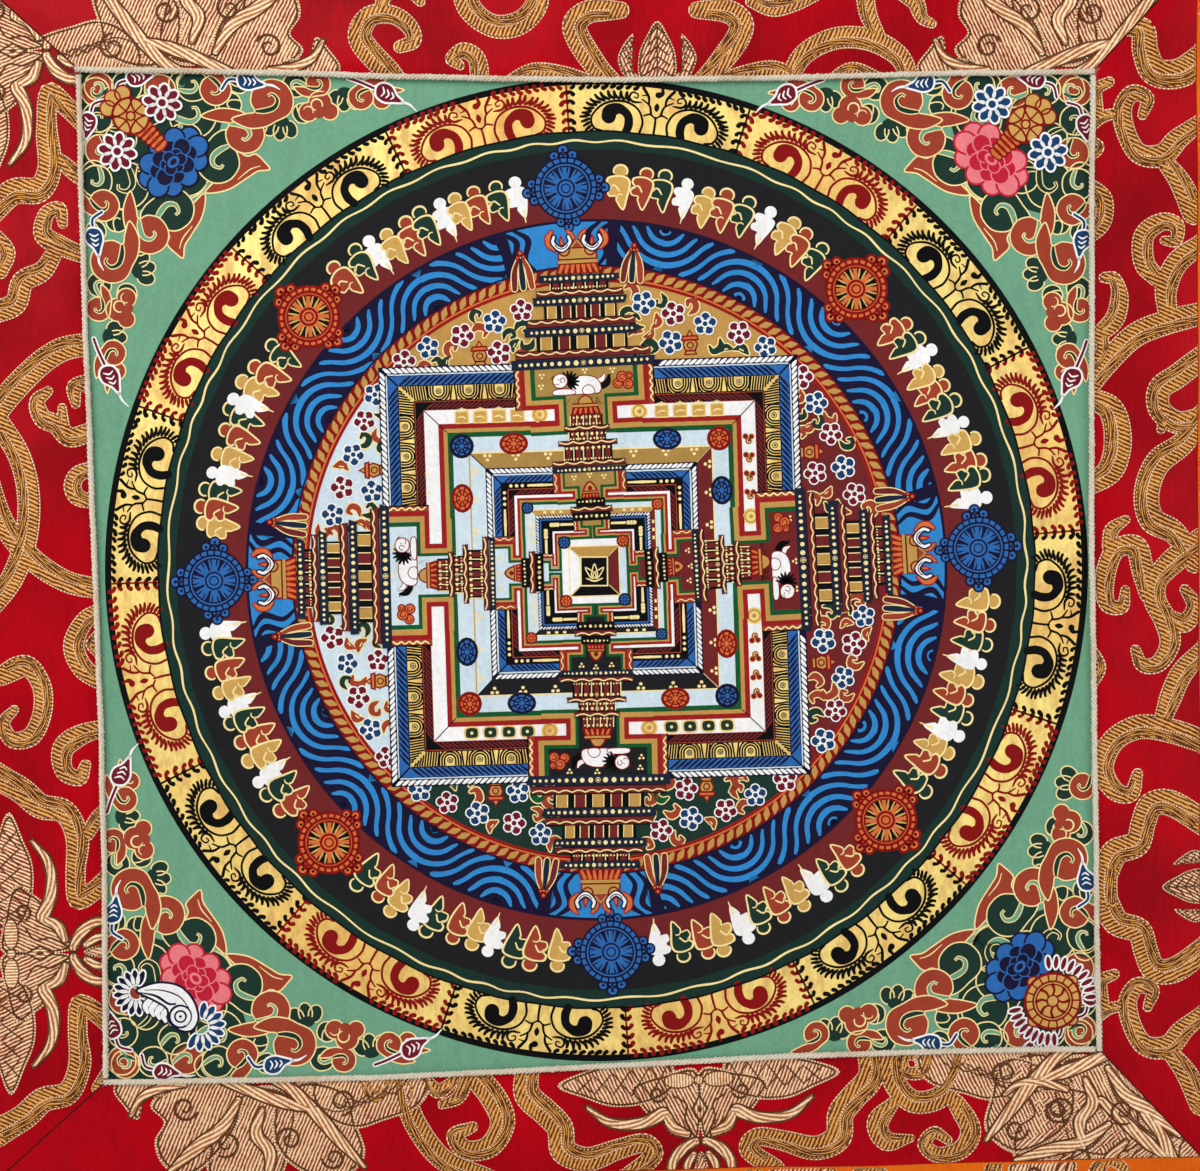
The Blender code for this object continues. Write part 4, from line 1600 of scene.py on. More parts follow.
def rust_swirl(gate, x, z, size, layer):
    """A cluster of round clouds, each with a curl."""
    e = gate.moved(x, z, 0, size)
    for k, (dx, dz, wide) in enumerate(
        ((-1.7, -0.6, 3.0), (1.6, -0.9, 3.1), (-0.2, 1.4, 3.3), (1.9, 1.7, 2.2))
    ):
        e.dot(dx, dz, wide, "orange", layer + 2 * k, 14)
        e.line(oval(wide, wide, dx, dz, points=14), 0.42, "crimson", layer + 2 * k + 1, closed=True)
        e.line(arc(wide * 0.24, 30, 300, 24, dx, dz), 0.34, "crimson", layer + 2 * k + 1)


def outer_tower(gate, layer, rng):
    """The roofs stacked over an outer gate."""
    navy_beam(gate, 21.4, 61.05, 64.1, layer, rng)
    eave(gate, 20.2, 64.1, 66.6, layer)
    storey(gate, 13.6, 66.6, 70.8, layer, 5, rng)
    navy_beam(gate, 17.0, 70.8, 73.5, layer + 3, rng)
    eave(gate, 16.1, 73.5, 75.9, layer)
    storey(gate, 10.9, 75.9, 80.0, layer, 5, rng)
    navy_beam(gate, 13.9, 80.0, 82.6, layer + 3, rng)
    eave(gate, 13.0, 82.6, 84.4, layer)
    storey(gate, 8.8, 84.4, 86.8, layer, 5, rng)
    navy_beam(gate, 11.9, 86.8, 89.2, layer + 3, rng)
    lotus_roof(gate, 5.9, 89.3, 93.6, layer + 3)
    crown(gate, layer + 3)
    banner(gate, -16.4, 85.2, 96.6, 4, layer + 3)
    banner(gate, 16.0, 85.8, 97.2, -6, layer + 3)


def inner_tower(gate, layer, rng):
    """The roofs over a second palace's gate, up into the outer gate's neck."""
    gate.blob(
        [(-2.0, 50.0), (2.0, 50.0), (1.4, 52.0), (0, 52.6), (-1.4, 52.0)], "ochre", layer, "crimson", 0.4
    )
    lotus_roof(gate, 3.9, 47.0, 50.2, layer + 2)
    storey(gate, 4.9, 43.5, 47.0, layer + 2, 5, rng)
    pearls(gate, -4.9, 4.9, 46.2, 0.85, layer + 6, rng)
    eave(gate, 6.8, 42.0, 43.6, layer + 2)
    storey(gate, 5.6, 39.0, 42.0, layer + 2, 4, rng)
    pearls(gate, -6.0, 6.0, 41.2, 1.0, layer + 6, rng)
    eave(gate, 8.8, 37.7, 39.2, layer + 2)
    storey(gate, 7.3, 33.0, 37.7, layer + 2, 5, rng)
    pearls(gate, -7.8, 7.8, 37.0, 1.1, layer + 6, rng)
    eave(gate, 11.0, 31.5, 33.2, layer + 2)
    navy_beam(gate, 10.9, 29.6, 31.5, layer + 2, rng, 0.2)


def smallest_tower(gate, layer, rng):
    """The two roofs over an inmost gate."""
    gate.blob(
        [(-1.7, 23.5), (-1.5, 25.4), (0, 26.8), (1.5, 25.4), (1.7, 23.5)], "ochre", layer, "crimson", 0.5
    )
    gate.fill(oval(1.4, 1.4, 0, 24.9), "crimson", layer + 2)
    lotus_roof(gate, 2.5, 21.9, 24.0, layer + 3)
    gate.field(box(-4.4, 19.4, 4.4, 21.9), "black", layer + 3)
    pearls(gate, -4.2, 4.2, 20.9, 0.8, layer + 5, rng)
    eave(gate, 6.2, 17.6, 19.4, layer + 3)
    gate.field(box(-5.7, 15.2, 5.7, 17.6), "black", layer + 3)
    pearls(gate, -5.5, 5.5, 16.5, 1.05, layer + 5, rng)


def gate_front(gate, floor, layer, sizes):
    """The T-shaped opening of one gate: ground, pillars and the three wall lines stepping round it.

    sizes: wall distances, neck, step and cheek of the green, ochre and red lines, then pillar and top.
    """
    runs, necks, steps, cheeks, widths, pillar, top = sizes
    for half in halves(gate):
        half.field(box(0, runs[0] - widths[0] / 2, necks[2], steps[0]), floor, layer)
        half.field(box(0, steps[2], cheeks[2], top), floor, layer)
        half.field(box(cheeks[2], steps[2] - widths[2] / 2, pillar, top), "rust", layer)
        middle = (cheeks[2] + widths[2] / 2 + pillar) / 2
        swing = (pillar - cheeks[2]) * 0.25
        squiggle(half, middle, steps[2] + 0.3, top - 0.3, widths[0] * 0.4, "cream", layer + 1, swing)
        half.line([(pillar, steps[2] - widths[2] / 2), (pillar, top)], widths[2] * 0.3, "black", layer + 1)
        for n, paint in enumerate(("green", "ochre", "red")):
            neck, run, step, cheek = necks[n], runs[n], steps[n], cheeks[n]
            route = [(necks[2] + 6 * widths[0], run), (neck, run), (neck, step), (cheek, step), (cheek, top)]
            half.line(route, widths[n], paint, layer + 2 + n, step=3)


OUTER_GATE = (
    (42.0, 43.3, 44.65), (6.4, 7.5, 8.7), (52.3, 51.0, 49.8),
    (15.4, 17.0, 18.5), (1.35, 1.75, 1.4), 20.9, 61.1,
)
INNER_GATE = (
    (20.8, 21.5, 22.1), (3.5, 4.2, 4.9), (25.3, 24.6, 23.9),
    (7.8, 8.4, 9.0), (0.85, 0.65, 0.75), 11.0, 29.7,
)
LEAST_GATE = (
    (10.1, 10.75, 11.25), (0.55, 1.3, 1.95), (13.3, 12.75, 12.25),
    (3.1, 3.8, 4.4), (0.8, 0.5, 0.55), 5.4, 15.3,
)


def disc(local, x, z, wide, tall, odd, layer):
    """A little wheel, rust and crimson if odd, else blue and navy."""
    light, ink = ("orange", "crimson") if odd else ("azure", "navy")
    local.disc(wide, tall, x, z, light, layer, ink, min(wide, tall) * 0.15, 16)
    inner = oval(wide * 0.62, tall * 0.62, x, z, points=12)
    if wide > 4:
        local.line(inner, 0.42, ink, layer + 1, closed=True)
    for k in range(4):
        a = math.radians(45 * k + 22)
        c, s = math.cos(a) * wide * 0.48, math.sin(a) * tall * 0.48
        local.line([(x - c, z - s), (x + c, z + s)], min(wide, tall) * 0.09, ink, layer + 1)
    local.fill(oval(wide * 0.22, tall * 0.22, x, z), light, layer + 2)


def tablet(local, x, z, layer):
    """A tan tablet with a cream curl and three dots over it."""
    face = box(x - 1.95, z - 1.8, x + 1.95, z + 1.7)
    local.fill(face, "tan", layer)
    local.line(face, 0.42, "gold", layer + 1, closed=True)
    curl = [(x - 1.2, z - 0.5), (x - 0.2, z + 0.1), (x + 1.3, z - 0.1)]
    local.stroke(curl, [0.35, 0.5, 0.35], "cream", layer + 1, steps=3)
    for k in (-1, 0, 1):
        local.dot(x + 0.75 * k, z + 2.2 + 0.3 * (k == 0), 0.8, "cream", layer + 2, 6)


def bracket_scroll(local, x, z, layer):
    """A small red cloud with a cream rim and a curl."""
    spots = ((-0.9, -0.7, 1.5), (0.9, -0.6, 1.4), (0.0, 0.7, 1.7))
    for dx, dz, size in spots:
        local.dot(x + dx, z + dz, size + 0.5, "tan", layer, 10)
    for dx, dz, size in spots:
        local.dot(x + dx, z + dz, size, "crimson", layer + 1, 10)
    local.line(arc(0.45, 0, 270, 30, x, z + 0.7), 0.22, "cream", layer + 2)


def white_band(local, side, gap, layer):
    """The white frieze with its ornaments."""
    near, far = 45.4, 49.6
    band(local, near, far, gap, "white", layer)
    middle = (near + far) / 2 - 0.1
    for half in halves(local):
        half.line([(near, near), (far, far)], 0.3, "navy", layer + 1)
        if side != 3:
            half.dot(14.9, middle, 5.2, "gold", layer + 1, 16)
            half.line(oval(3.6, 3.6, 14.9, middle), 0.5, "ochre", layer + 2, closed=True)
            half.dot(14.9, middle, 1.3, "ochre", layer + 2)
        for k in range(4):
            x = 21.6 + 5.55 * k
            if side == 0:
                tablet(half, x, middle - 0.1, layer + 1)
            elif side == 1:
                bracket_scroll(half.moved(x, middle, 90), 0, 0, layer + 1)
            elif side == 2:
                leaf = np.array([(-1.7, -1.5), (-1.9, 1.2), (0, 1.7), (1.9, 1.2), (1.6, -1.5)]) + (x, middle)
                half.blob(leaf, "forest", layer + 1, "gold", 0.5)
                half.dot(x, middle, 1.0, "cream", layer + 3)
    if side == 3:
        for k in range(4):
            trefoil(local, 30.5 - 5.6 * k, far - 0.3, 0.6, layer + 2)


def outer_walls(local, side, layer, rng):
    """One side of the largest wall, from its ropes down to the floor inside."""
    gap = 19.5
    ropes(local, ((62.7, 60.8), (60.2, 57.1)), gap, layer, rng)
    ringed_band(local, 52.5, 57.0, gap, layer)
    hatched(local, 49.6, 52.4, gap, layer, rng)
    white_band(local, side, 8.0, layer)
    for run, width, paint in ((44.65, 1.5, "red"), (43.3, 1.3, "ochre"), (42.0, 1.5, "green")):
        band(local, run - width / 2, run + width / 2, 8.0, paint, layer + 1)
    mitre_line(local, 42.8, 49.4, 0.28, "navy", layer + 4)
    band(local, 36.4, 41.3, 0.0, "ice", layer)
    disc(local, -23.0, 38.9, 7.8, 5.8, side % 2 == 0, layer + 3)
    disc(local, 23.0, 38.9, 7.8, 5.8, side % 2, layer + 3)
    disc(local, -38.6, 38.6, 6.4, 6.4, side % 2, layer + 3)
    band(local, 31.6, 36.4, 0.0, FLOOR_PAINTS[side], layer + 1)
    rail(local, 36.4, 0.0, 0.42, "tan" if side == 3 else "cream", layer + 2)
    for half in halves(local):
        half.line([(31.6, 31.6), (37.2, 37.2)], 0.3, "navy" if side in (0, 3) else "cream", layer + 2)
        for x in (12.8, 22.5, 31.0):
            trefoil(half, x, 35.1, 1.05, layer + 3)


def middle_walls(local, side, layer, rng):
    """One side of the second wall."""
    gap = 10.3
    ropes(local, ((31.6, 30.0), (29.3, 27.2)), gap, layer, rng)
    barred(local, 25.3, 27.2, gap, layer)
    hatched(local, 23.2, 25.3, gap, layer, rng)
    band(local, 22.5, 23.3, 4.5, "white", layer + 3)
    for run, width, paint in ((22.1, 0.8, "red"), (21.5, 0.6, "ochre"), (20.8, 0.9, "green")):
        band(local, run - width / 2, run + width / 2, 4.5, paint, layer + 3)
    band(local, 18.9, 20.35, 0.0, "ice", layer)
    disc(local, -19.5, 19.5, 3.2, 3.2, side % 2, layer + 4)
    band(local, 17.2, 18.9, 0.0, INNER_FLOORS[side], layer + 1)
    rail(local, 18.8, 0.0, 0.3, "cream", layer + 2)
    for half in halves(local):
        for x in (9.0, 11.4, 13.8):
            half.fill(box(x, 17.7, x + 1.0, 18.4), "cream", layer + 2)


def inmost_walls(local, side, layer, rng):
    """One side of the inmost wall."""
    gap = 5.0
    band(local, 15.4, 17.2, gap, "navy", layer)
    slants(local, 16.2, 17.2, gap, 0.9, 0.45, "white", layer + 1, rng, 0.8)
    rail(local, 15.75, gap, 0.4, "azure", layer + 1)
    barred(local, 13.0, 15.4, gap, layer)
    band(local, 12.1, 13.0, gap, "black", layer)
    band(local, 11.6, 12.2, 1.9, "white", layer + 1)
    for run, width, paint in ((11.3, 0.7, "red"), (10.8, 0.5, "ochre"), (10.1, 0.9, "green")):
        band(local, run - width / 2, run + width / 2, 1.2, paint, layer + 1)
    band(local, 7.6, 9.65, 0.0, "ice" if side == 1 else "white", layer)
    band(local, 4.3, 7.6, 0.0, INMOST_FLOORS[side], layer + 1)
    disc(local, -8.8, 8.8, 3.4, 3.4, side % 2, layer + 4)
    rail(local, 7.5, 0.0, 0.35, "cream", layer + 2)
    mitre_line(local, 4.3, 7.9, 0.35, "cream", layer + 3)


def paint_palace(palette):
    """Three nested walls, each with four gates, round a dark heart with a cream flower."""
    easel = Easel()
    palace = easel.moved(*PALACE, turn=1.8)
    rng = random.Random(55)
    base = 18
    for side in range(4):
        for walls in (outer_walls, middle_walls, inmost_walls):
            walls(palace.moved(turn=-90 * side), side, base, rng)
    palace.field(box(-4.3, -4.3, 4.3, 4.3), "black", base + 3)
    heart = easel.moved(*PALACE, turn=0.5)
    heart.line(box(-4.1, -4.4, 3.9, 4.2), 0.42, "cream", base + 6, closed=True)
    petal = [(-0.9, 0.4), (-0.6, 2.4), (0, 3.9), (0.6, 2.4), (0.9, 0.4), (0, -0.2)]
    for lean in (-44, 44, 0):
        heart.moved(0.0, -1.8, lean).blob(petal, "black", base + 6, "cream", 0.34, 3)
    heart.stroke([(-2.4, -2.2), (0, -3.0), (2.4, -2.2)], [0.3, 0.55, 0.3], "cream", base + 9)
    for side, (floor, turn) in enumerate(zip(FLOOR_PAINTS, GATE_TURNS)):
        gate = palace.moved(turn=turn - 90 * side)
        gate_front(gate, floor, base + 5, LEAST_GATE)
        smallest_tower(gate, base + 16, rng)
        gate_front(gate, floor, base + 5, INNER_GATE)
        for x, z in ((-4.6, 28.3), (4.4, 28.3), (0.1, 28.9)):
            trefoil(gate, x, z, 0.7, base + 9)
        gate_front(gate, floor, base + 5, OUTER_GATE)
        inner_tower(gate, base + 11, rng)
        for x, z in ((-12.6, 59.2), (-13.0, 56.0), (0.3, 60.2), (8.6, 60.0)):
            trefoil(gate, x, z, 0.75, base + 9)
        lying_lion(gate, 1.0, 52.9, 0.92, base + 12, side in (1, 3))
        rust_swirl(gate, 11.6 if side in (0, 2) else -11.4, 56.4, 0.95, base + 10)
        outer_tower(gate, base + 12, rng)
    ob = piece("palace", easel, CANVAS_THICK / 2, PAINT_LAYER, palette)
    return [ob]


# ---------------------------------------------------------------- the corner gardens


def corner_easel(store, corner):
    """A local frame at a corner of the opening: x along the level side and z along the upright one."""
    root = np.array(OPENING[corner])
    level = np.array(OPENING[(1, 0, 3, 2)[corner]]) - root
    upright = np.array(OPENING[(3, 2, 1, 0)[corner]]) - root
    level /= math.hypot(*level)
    upright /= math.hypot(*upright)

    def place(p):
        spots = root + p[:, :1] * level + p[:, 1:] * upright
        for side in range(4):
            out = side_normal(OPENING, side)
            spots = pulled_in(spots, beyond(OPENING, OPENING_BOW, side, spots), -out, 0.4)
        return spots

    return Easel(place, store)


def curled(e, x, z, size, turn, paint, layer, tail=0.0, way=1, mouth="forest"):
    """A round leaf that curls in on itself: a cream-edged head, a hooked slit and perhaps a tail."""
    c = e.moved(x, z, turn, size)
    shape = [(0.0, 1.02), (0.74, 0.72), (1.02, 0.0), (0.72, -0.74), (0.0, -1.02)]
    shape += [(-0.74, -0.72), (-1.02, -0.08), (-0.9, 0.42)]
    if tail:
        shape += [(-0.95 - 0.4 * tail, 0.46), (-1.05 - tail, 0.62), (-0.85 - 0.5 * tail, 1.14), (-0.55, 1.2)]
    else:
        shape += [(-0.6, 0.85)]
    outline = smooth(np.array(shape) * (1, way), 4, closed=True)
    c.fill(outline, paint, layer)
    edge = 0.42 / size
    c.line(outline, edge, "cream", layer + 1, closed=True)
    slit = np.array([(-0.86, 0.40), (-0.42, 0.44), (0.06, 0.34), (0.26, 0.0), (0.06, -0.30), (-0.16, -0.24)])
    slit *= (1, way)
    if size > 3.4:
        inner = np.array([0.10, 0.20, 0.22, 0.18, 0.12, 0.04])
        c.stroke(slit, inner + 0.62 / size, "cream", layer + 1, steps=4)
        c.stroke(slit, inner, mouth, layer + 2, steps=4)
    else:
        c.line(smooth(slit[:5], 4), edge * 0.9, "cream", layer + 2)


def bud_on_stem(e, points, size, paint, layer):
    """A closed bud on a curved stem, outlined in white."""
    route = smooth(points, 6)
    e.rounded(route, np.full(len(route), 1.7 * size), "white", layer, 1)
    e.rounded(route, np.full(len(route), 0.8 * size), paint, layer + 1, 1)
    end, before = route[-1], route[-3]
    turn = math.degrees(math.atan2(end[1] - before[1], end[0] - before[0]))
    b = e.moved(*end, turn, size)
    shape = [
        (-0.6, -0.9), (1.0, -2.9), (4.0, -3.0), (6.4, -1.0), (9.4, 0.3), (6.2, 1.9), (3.4, 2.9), (0.4, 2.1)
    ]
    b.blob(shape, paint, layer + 2, "white", 0.66)
    for k in range(3):
        x = 1.4 + 1.6 * k
        vein_line = [(x, -1.5 + 0.2 * k), (x + 1.0, 0.0), (x + 0.5, 1.4 - 0.2 * k)]
        b.stroke(vein_line, [0.35, 0.62, 0.35], "white", layer + 3, steps=3)
    b.stroke([(8.8, 0.3), (11.4, 0.2), (14.0, 1.2)], [0.9, 0.75, 0.3], "white", layer + 3, steps=3)


def fan(e, x, z, turns, radius, long, wide, inner, edge, width, layer):
    """Ovals spread round a point, all filled before any is outlined."""
    outline = oval(long, wide, radius, 0, points=14)
    places = [e.moved(x, z, turn) for turn in turns]
    for p in places:
        p.fill(outline, inner, layer)
    for p in places:
        p.line(outline, width, edge, layer + 1, closed=True)


def eight_petals(e, x, z, petal, layer):
    """A small flower of eight petals round a heart."""
    fan(e, x, z, range(10, 370, 45), 3.7, 4.4, 3.1, petal, "white", 0.62, layer)
    e.disc(2.9, 2.9, x, z, petal, layer + 2, "white", 0.55, 12)


def petals(f, count, wide, tall, size, fill, edge, width, layer):
    """A ring of round petals, every other one over its neighbours."""
    for k in range(count):
        a = 2 * math.pi * (k + 0.5) / count
        p = f.moved(wide * math.cos(a), tall * math.sin(a), math.degrees(a))
        p.disc(size * 1.08, size, 0, 0, fill, layer + 2 * (k % 2), edge, width, 16)


def peony(e, x, z, size, light, dark, layer):
    """A full flower: light petals round the rim, dark folds inside and a light eye."""
    f = e.moved(x, z, 135, size)
    f.fill(oval(20, 13, points=20), dark, layer)
    petals(f, 10, 8.9, 5.6, 6.4, light, dark, 0.6, layer + 1)
    petals(f, 8, 5.4, 3.4, 5.2, dark, light, 0.42, layer + 5)
    petals(f, 6, 2.4, 1.7, 3.6, dark, light, 0.34, layer + 9)
    f.disc(4.6, 3.6, 0, 0, light, layer + 13, dark, 0.4)
    f.fill(oval(2.4, 1.6, points=12), dark, layer + 14)


def frill(e, x, z, radius, first, last, count, long, wide, inner, edge, layer):
    """Looped ribbon ends in a fan."""
    fan(e, x, z, np.linspace(first, last, count), radius, long, wide, inner, edge, 0.52, layer)


def jar(e, x, z, turn, layer):
    """An ochre jar in crimson outline with a netted belly, a lobed lid and a striped neck."""
    j = e.moved(x, z, turn)
    for a, b in ((-3.2, 7.0), (3.2, 7.0), (0, 8.2)):
        j.disc(4.8, 4.8, a, b, "tan", layer, "crimson")
    for k in range(5):
        j.disc(6.2 - 0.4 * k, 2.3, 0, -5.2 - 1.7 * k, "orange", layer, "crimson", 0.45)
    j.disc(10.8, 11.2, 0, 0.6, "tan", layer + 2, "crimson", 0.75, 20)
    for a in (-1, 1):
        j.line(smooth([(a * 4.0, -3.8), (a * 1.9, 0.6), (a * 4.0, 5.0)], 4), 0.6, "crimson", layer + 3)
        j.line(
            smooth([(-4.6, 0.6 + a * 3.4), (0, 0.6 + a * 2.0), (4.6, 0.6 + a * 3.4)], 4), 0.6, "crimson",
            layer + 3,
        )
    for a in (0, 90):
        j.moved(0, 0.6, a).line([(-5.2, 0), (5.2, 0)], 0.5, "crimson", layer + 3)
    j.dot(0, 0.6, 2.6, "tan", layer + 4, 12)
    j.line(oval(2.6, 2.6, 0, 0.6), 0.55, "crimson", layer + 5, closed=True)


def gold_wheel(e, x, z, layer):
    """An eight-spoked ochre wheel with a knob at each quarter."""
    w = e.moved(x, z)
    for k in range(4):
        knob = w.moved(turn=90 * k + 45)
        knob.dot(8.2, 0, 3.4, "tan", layer, 12)
        knob.line(oval(3.4, 3.4, 8.2, 0), 0.5, "crimson", layer + 1, closed=True)
    w.dot(0, 0, 16.6, "tan", layer + 2, 28)
    for radius, width in ((8.3, 0.8), (5.9, 0.6), (5.0, 0.5), (1.7, 0.5)):
        w.line(arc(radius, 0, 360, 12)[:-1], width, "crimson", layer + 3, closed=True)
    for k in range(18):
        w.moved(turn=20 * k).line([(6.0, 0), (8.2, 0)], 0.5, "crimson", layer + 3)
    for k in range(8):
        w.moved(turn=45 * k).stroke(
            [(1.8, 0), (3.2, 0.5), (4.9, 0)], [0.6, 0.8, 1.0], "crimson", layer + 3, steps=3
        )


def conch(e, layer):
    """A white shell with a navy coil, ribs below and ribbons at both ends."""
    shape = [
        (9.6, 26.6), (13.0, 28.4), (17.5, 29.0), (22.8, 27.6), (26.6, 23.4), (28.0, 18.0), (26.0, 14.4),
        (22.4, 14.4), (19.0, 17.4), (18.6, 21.0), (14.6, 23.8),
    ]
    for k in range(5):
        x, z = 12.2 + 1.75 * k, 23.0 - 0.95 * k
        e.stroke(
            [(x + 1.6, z + 1.0), (x, z - 1.0), (x + 0.6, z - 2.9)], [1.6, 1.9, 0.9], "white", layer - 2,
            "navy", 0.4, 4,
        )
    e.blob(shape, "white", layer, "navy", 0.66, 5)
    e.line(arc(3.3, -60, 300, 20, 22.6, 18.6), [0.3, 0.7, 0.6], "navy", layer + 2)
    e.line(arc(1.7, -20, 340, 30, 22.6, 18.6), [0.6, 0.5], "navy", layer + 2)
    e.dot(22.6, 18.6, 0.9, "navy", layer + 2)
    e.line(
        smooth([(10.6, 26.2), (15.4, 25.0), (19.0, 22.6), (21.4, 22.4)], 5), [0.3, 0.8, 0.6], "navy",
        layer + 2,
    )
    e.line(
        smooth([(12.0, 26.9), (17.4, 26.6), (22.4, 24.6), (25.2, 21.0)], 5), [0.2, 0.45, 0.3], "navy",
        layer + 2,
    )


def cloud(e, x, z, layer):
    """Three rust lobes with a curl, in one cream edge."""
    lobes = ((-3.0, 1.6, 5.4), (0.6, -1.2, 6.6), (3.4, 1.4, 4.8))
    for dx, dz, size in lobes:
        e.dot(x + dx, z + dz, size + 0.84, "cream", layer, 16)
    for dx, dz, size in lobes:
        e.dot(x + dx, z + dz, size, "rust", layer + 1, 16)
    e.dot(x, z + 1.0, 5.0, "rust", layer + 2, 12)
    e.line(arc(1.7, 100, 380, 24, x - 0.4, z - 0.6), [0.25, 0.55, 0.4], "cream", layer + 3)
    e.line(arc(1.5, 200, 380, 24, x - 3.0, z + 1.4), [0.2, 0.4, 0.3], "cream", layer + 3)


def lobes(e, x, z, turn, layer):
    """A sprig of three small dark leaves."""
    s = e.moved(x, z, turn)
    for dx, dz, wide, tall, lean in (
        (-2.9, 0.3, 4.4, 5.6, 24), (0, 1.0, 4.2, 6.0, 0), (2.9, 0.2, 4.2, 5.4, -24)
    ):
        s.blob(oval(wide, tall, dx, dz, lean, 14), "forest", layer, "cream", 0.4, 1)
    s.fill(oval(5.0, 3.4, 0, -1.8, points=12), "forest", layer + 2)


def arm(e, rng, kind):
    """The scrolls that run from a corner's middle along one side, shrinking to a bud."""

    def wander(x, z, amount=0.5):
        """A place moved a little, by chance."""
        return x + rng.uniform(-amount, amount), z + rng.uniform(-amount, amount)

    lobes(e, *wander(60.0, 17.0), 5 + rng.uniform(-10, 10), 4)
    lobes(e, *wander(79.5, 8.0), rng.uniform(-15, 15), 4)
    leaves = ((64.5, 4.5, 3.6, 200), (47.8, 4.0, 3.0, 30), (45.2, 10.4, 3.4, 190))
    leaves += ((66.5, 12.4, 3.0, 90), (33.5, 4.6, 4.6, 20), (52.5, 16.5, 3.0, 60))
    for x, z, size, turn in leaves:
        curled(e, *wander(x, z, 0.4), size, turn + rng.uniform(-15, 15), "forest", 4, mouth="mint")
    # The flame that rises behind the green curl, with its flicked tip.
    flame = [
        (36.8, 36.6), (43.4, 35.8), (49.4, 32.2), (52.6, 30.2), (56.2, 29.6), (54.8, 27.4), (52.2, 25.0),
        (49.4, 25.6), (45.0, 23.4), (44.0, 28.0), (40.4, 32.4),
    ]
    outline = smooth(flame, 5, closed=True)
    patch(e, outline, (47.2, 29.0), "rust", 6, 2)
    e.line(outline, 0.46, "cream", 7, closed=True)
    e.line(smooth([(46.6, 32.6), (50.4, 29.6), (53.4, 28.6)], 4), [0.2, 0.4, 0.25], "cream", 7)
    curled(e, *wander(41.2, 27.0), 6.3, 160 + rng.uniform(-12, 12), "forest", 8, 0.5, 1, "mint")
    curled(e, *wander(49.4, 19.2), 5.7, 8, "rust", 11, 1.35, -1, "mint")
    curled(e, *wander(57.0, 8.6), 6.3, -8, "rust", 14, 1.0, 1, "forest")
    curled(e, *wander(40.6, 6.2), 4.6, 40, "rust", 12, 0.5, -1, "forest")
    if kind > 0:
        cloud(e, *wander(71.5, 11.0), 8)
        curled(e, *wander(71.5, 3.6), 3.6, 10, "rust", 8, 0.9, 1)
        curled(e, *wander(84.5, 7.6), 3.7, 160, "rust", 12, 1.4, 1)
        if kind > 1:
            curled(e, *wander(90.0, 9.0), 2.7, 170, "rust", 9, 1.6, 1)
            bud_on_stem(e, [(80.5, 2.2), (84.0, 3.4), (89.0, 5.6)], 0.95, "wine", 16)
    else:
        cloud(e, *wander(67.0, 9.6), 8)
        curled(e, *wander(78.5, 4.6), 3.9, 165, "rust", 9, 1.4, 1)
    bud_on_stem(e, [(42.5, 5.6), (44.6, 2.8), (47.6, 2.9)], 0.9, "blue", 18)


# Leaves on one half of a corner's heart, as x, z, size, turn and paint.
HEART_LEAVES = (
    (34.0, 13.0, 7.0, 10, "forest"), (31.0, 31.0, 7.0, 45, "forest"), (24.0, 5.6, 4.6, 30, "rust"),
    (31.0, 21.0, 5.0, 90, "forest"), (14.0, 5.0, 4.4, 200, "forest"), (30.4, 3.6, 3.6, 140, "forest"),
    (20.0, 12.0, 4.6, 60, "forest"), (6.0, 4.6, 4.2, -60, "rust"),
)


def heart_leaves(e, rng):
    """Dark and rust leaves that fill the middle of a corner under its flowers."""
    for half, mouth in ((e, "mint"), (e.moved(turn=-90, flip=True), "forest")):
        base = [(0.2, 0.2), (36, 0.2), (44, 4), (43, 12), (40, 22), (34, 31), (24, 24), (12, 12)]
        patch(half, smooth(base, 3, closed=True), (24, 12), "forest", 1, 3)
        for x, z, size, turn, paint in HEART_LEAVES:
            x += rng.uniform(-0.5, 0.5)
            z += rng.uniform(-0.3, 0.3)
            turn += rng.uniform(-15, 15)
            curled(half, x, z, size, turn, paint, 2, mouth=mouth)


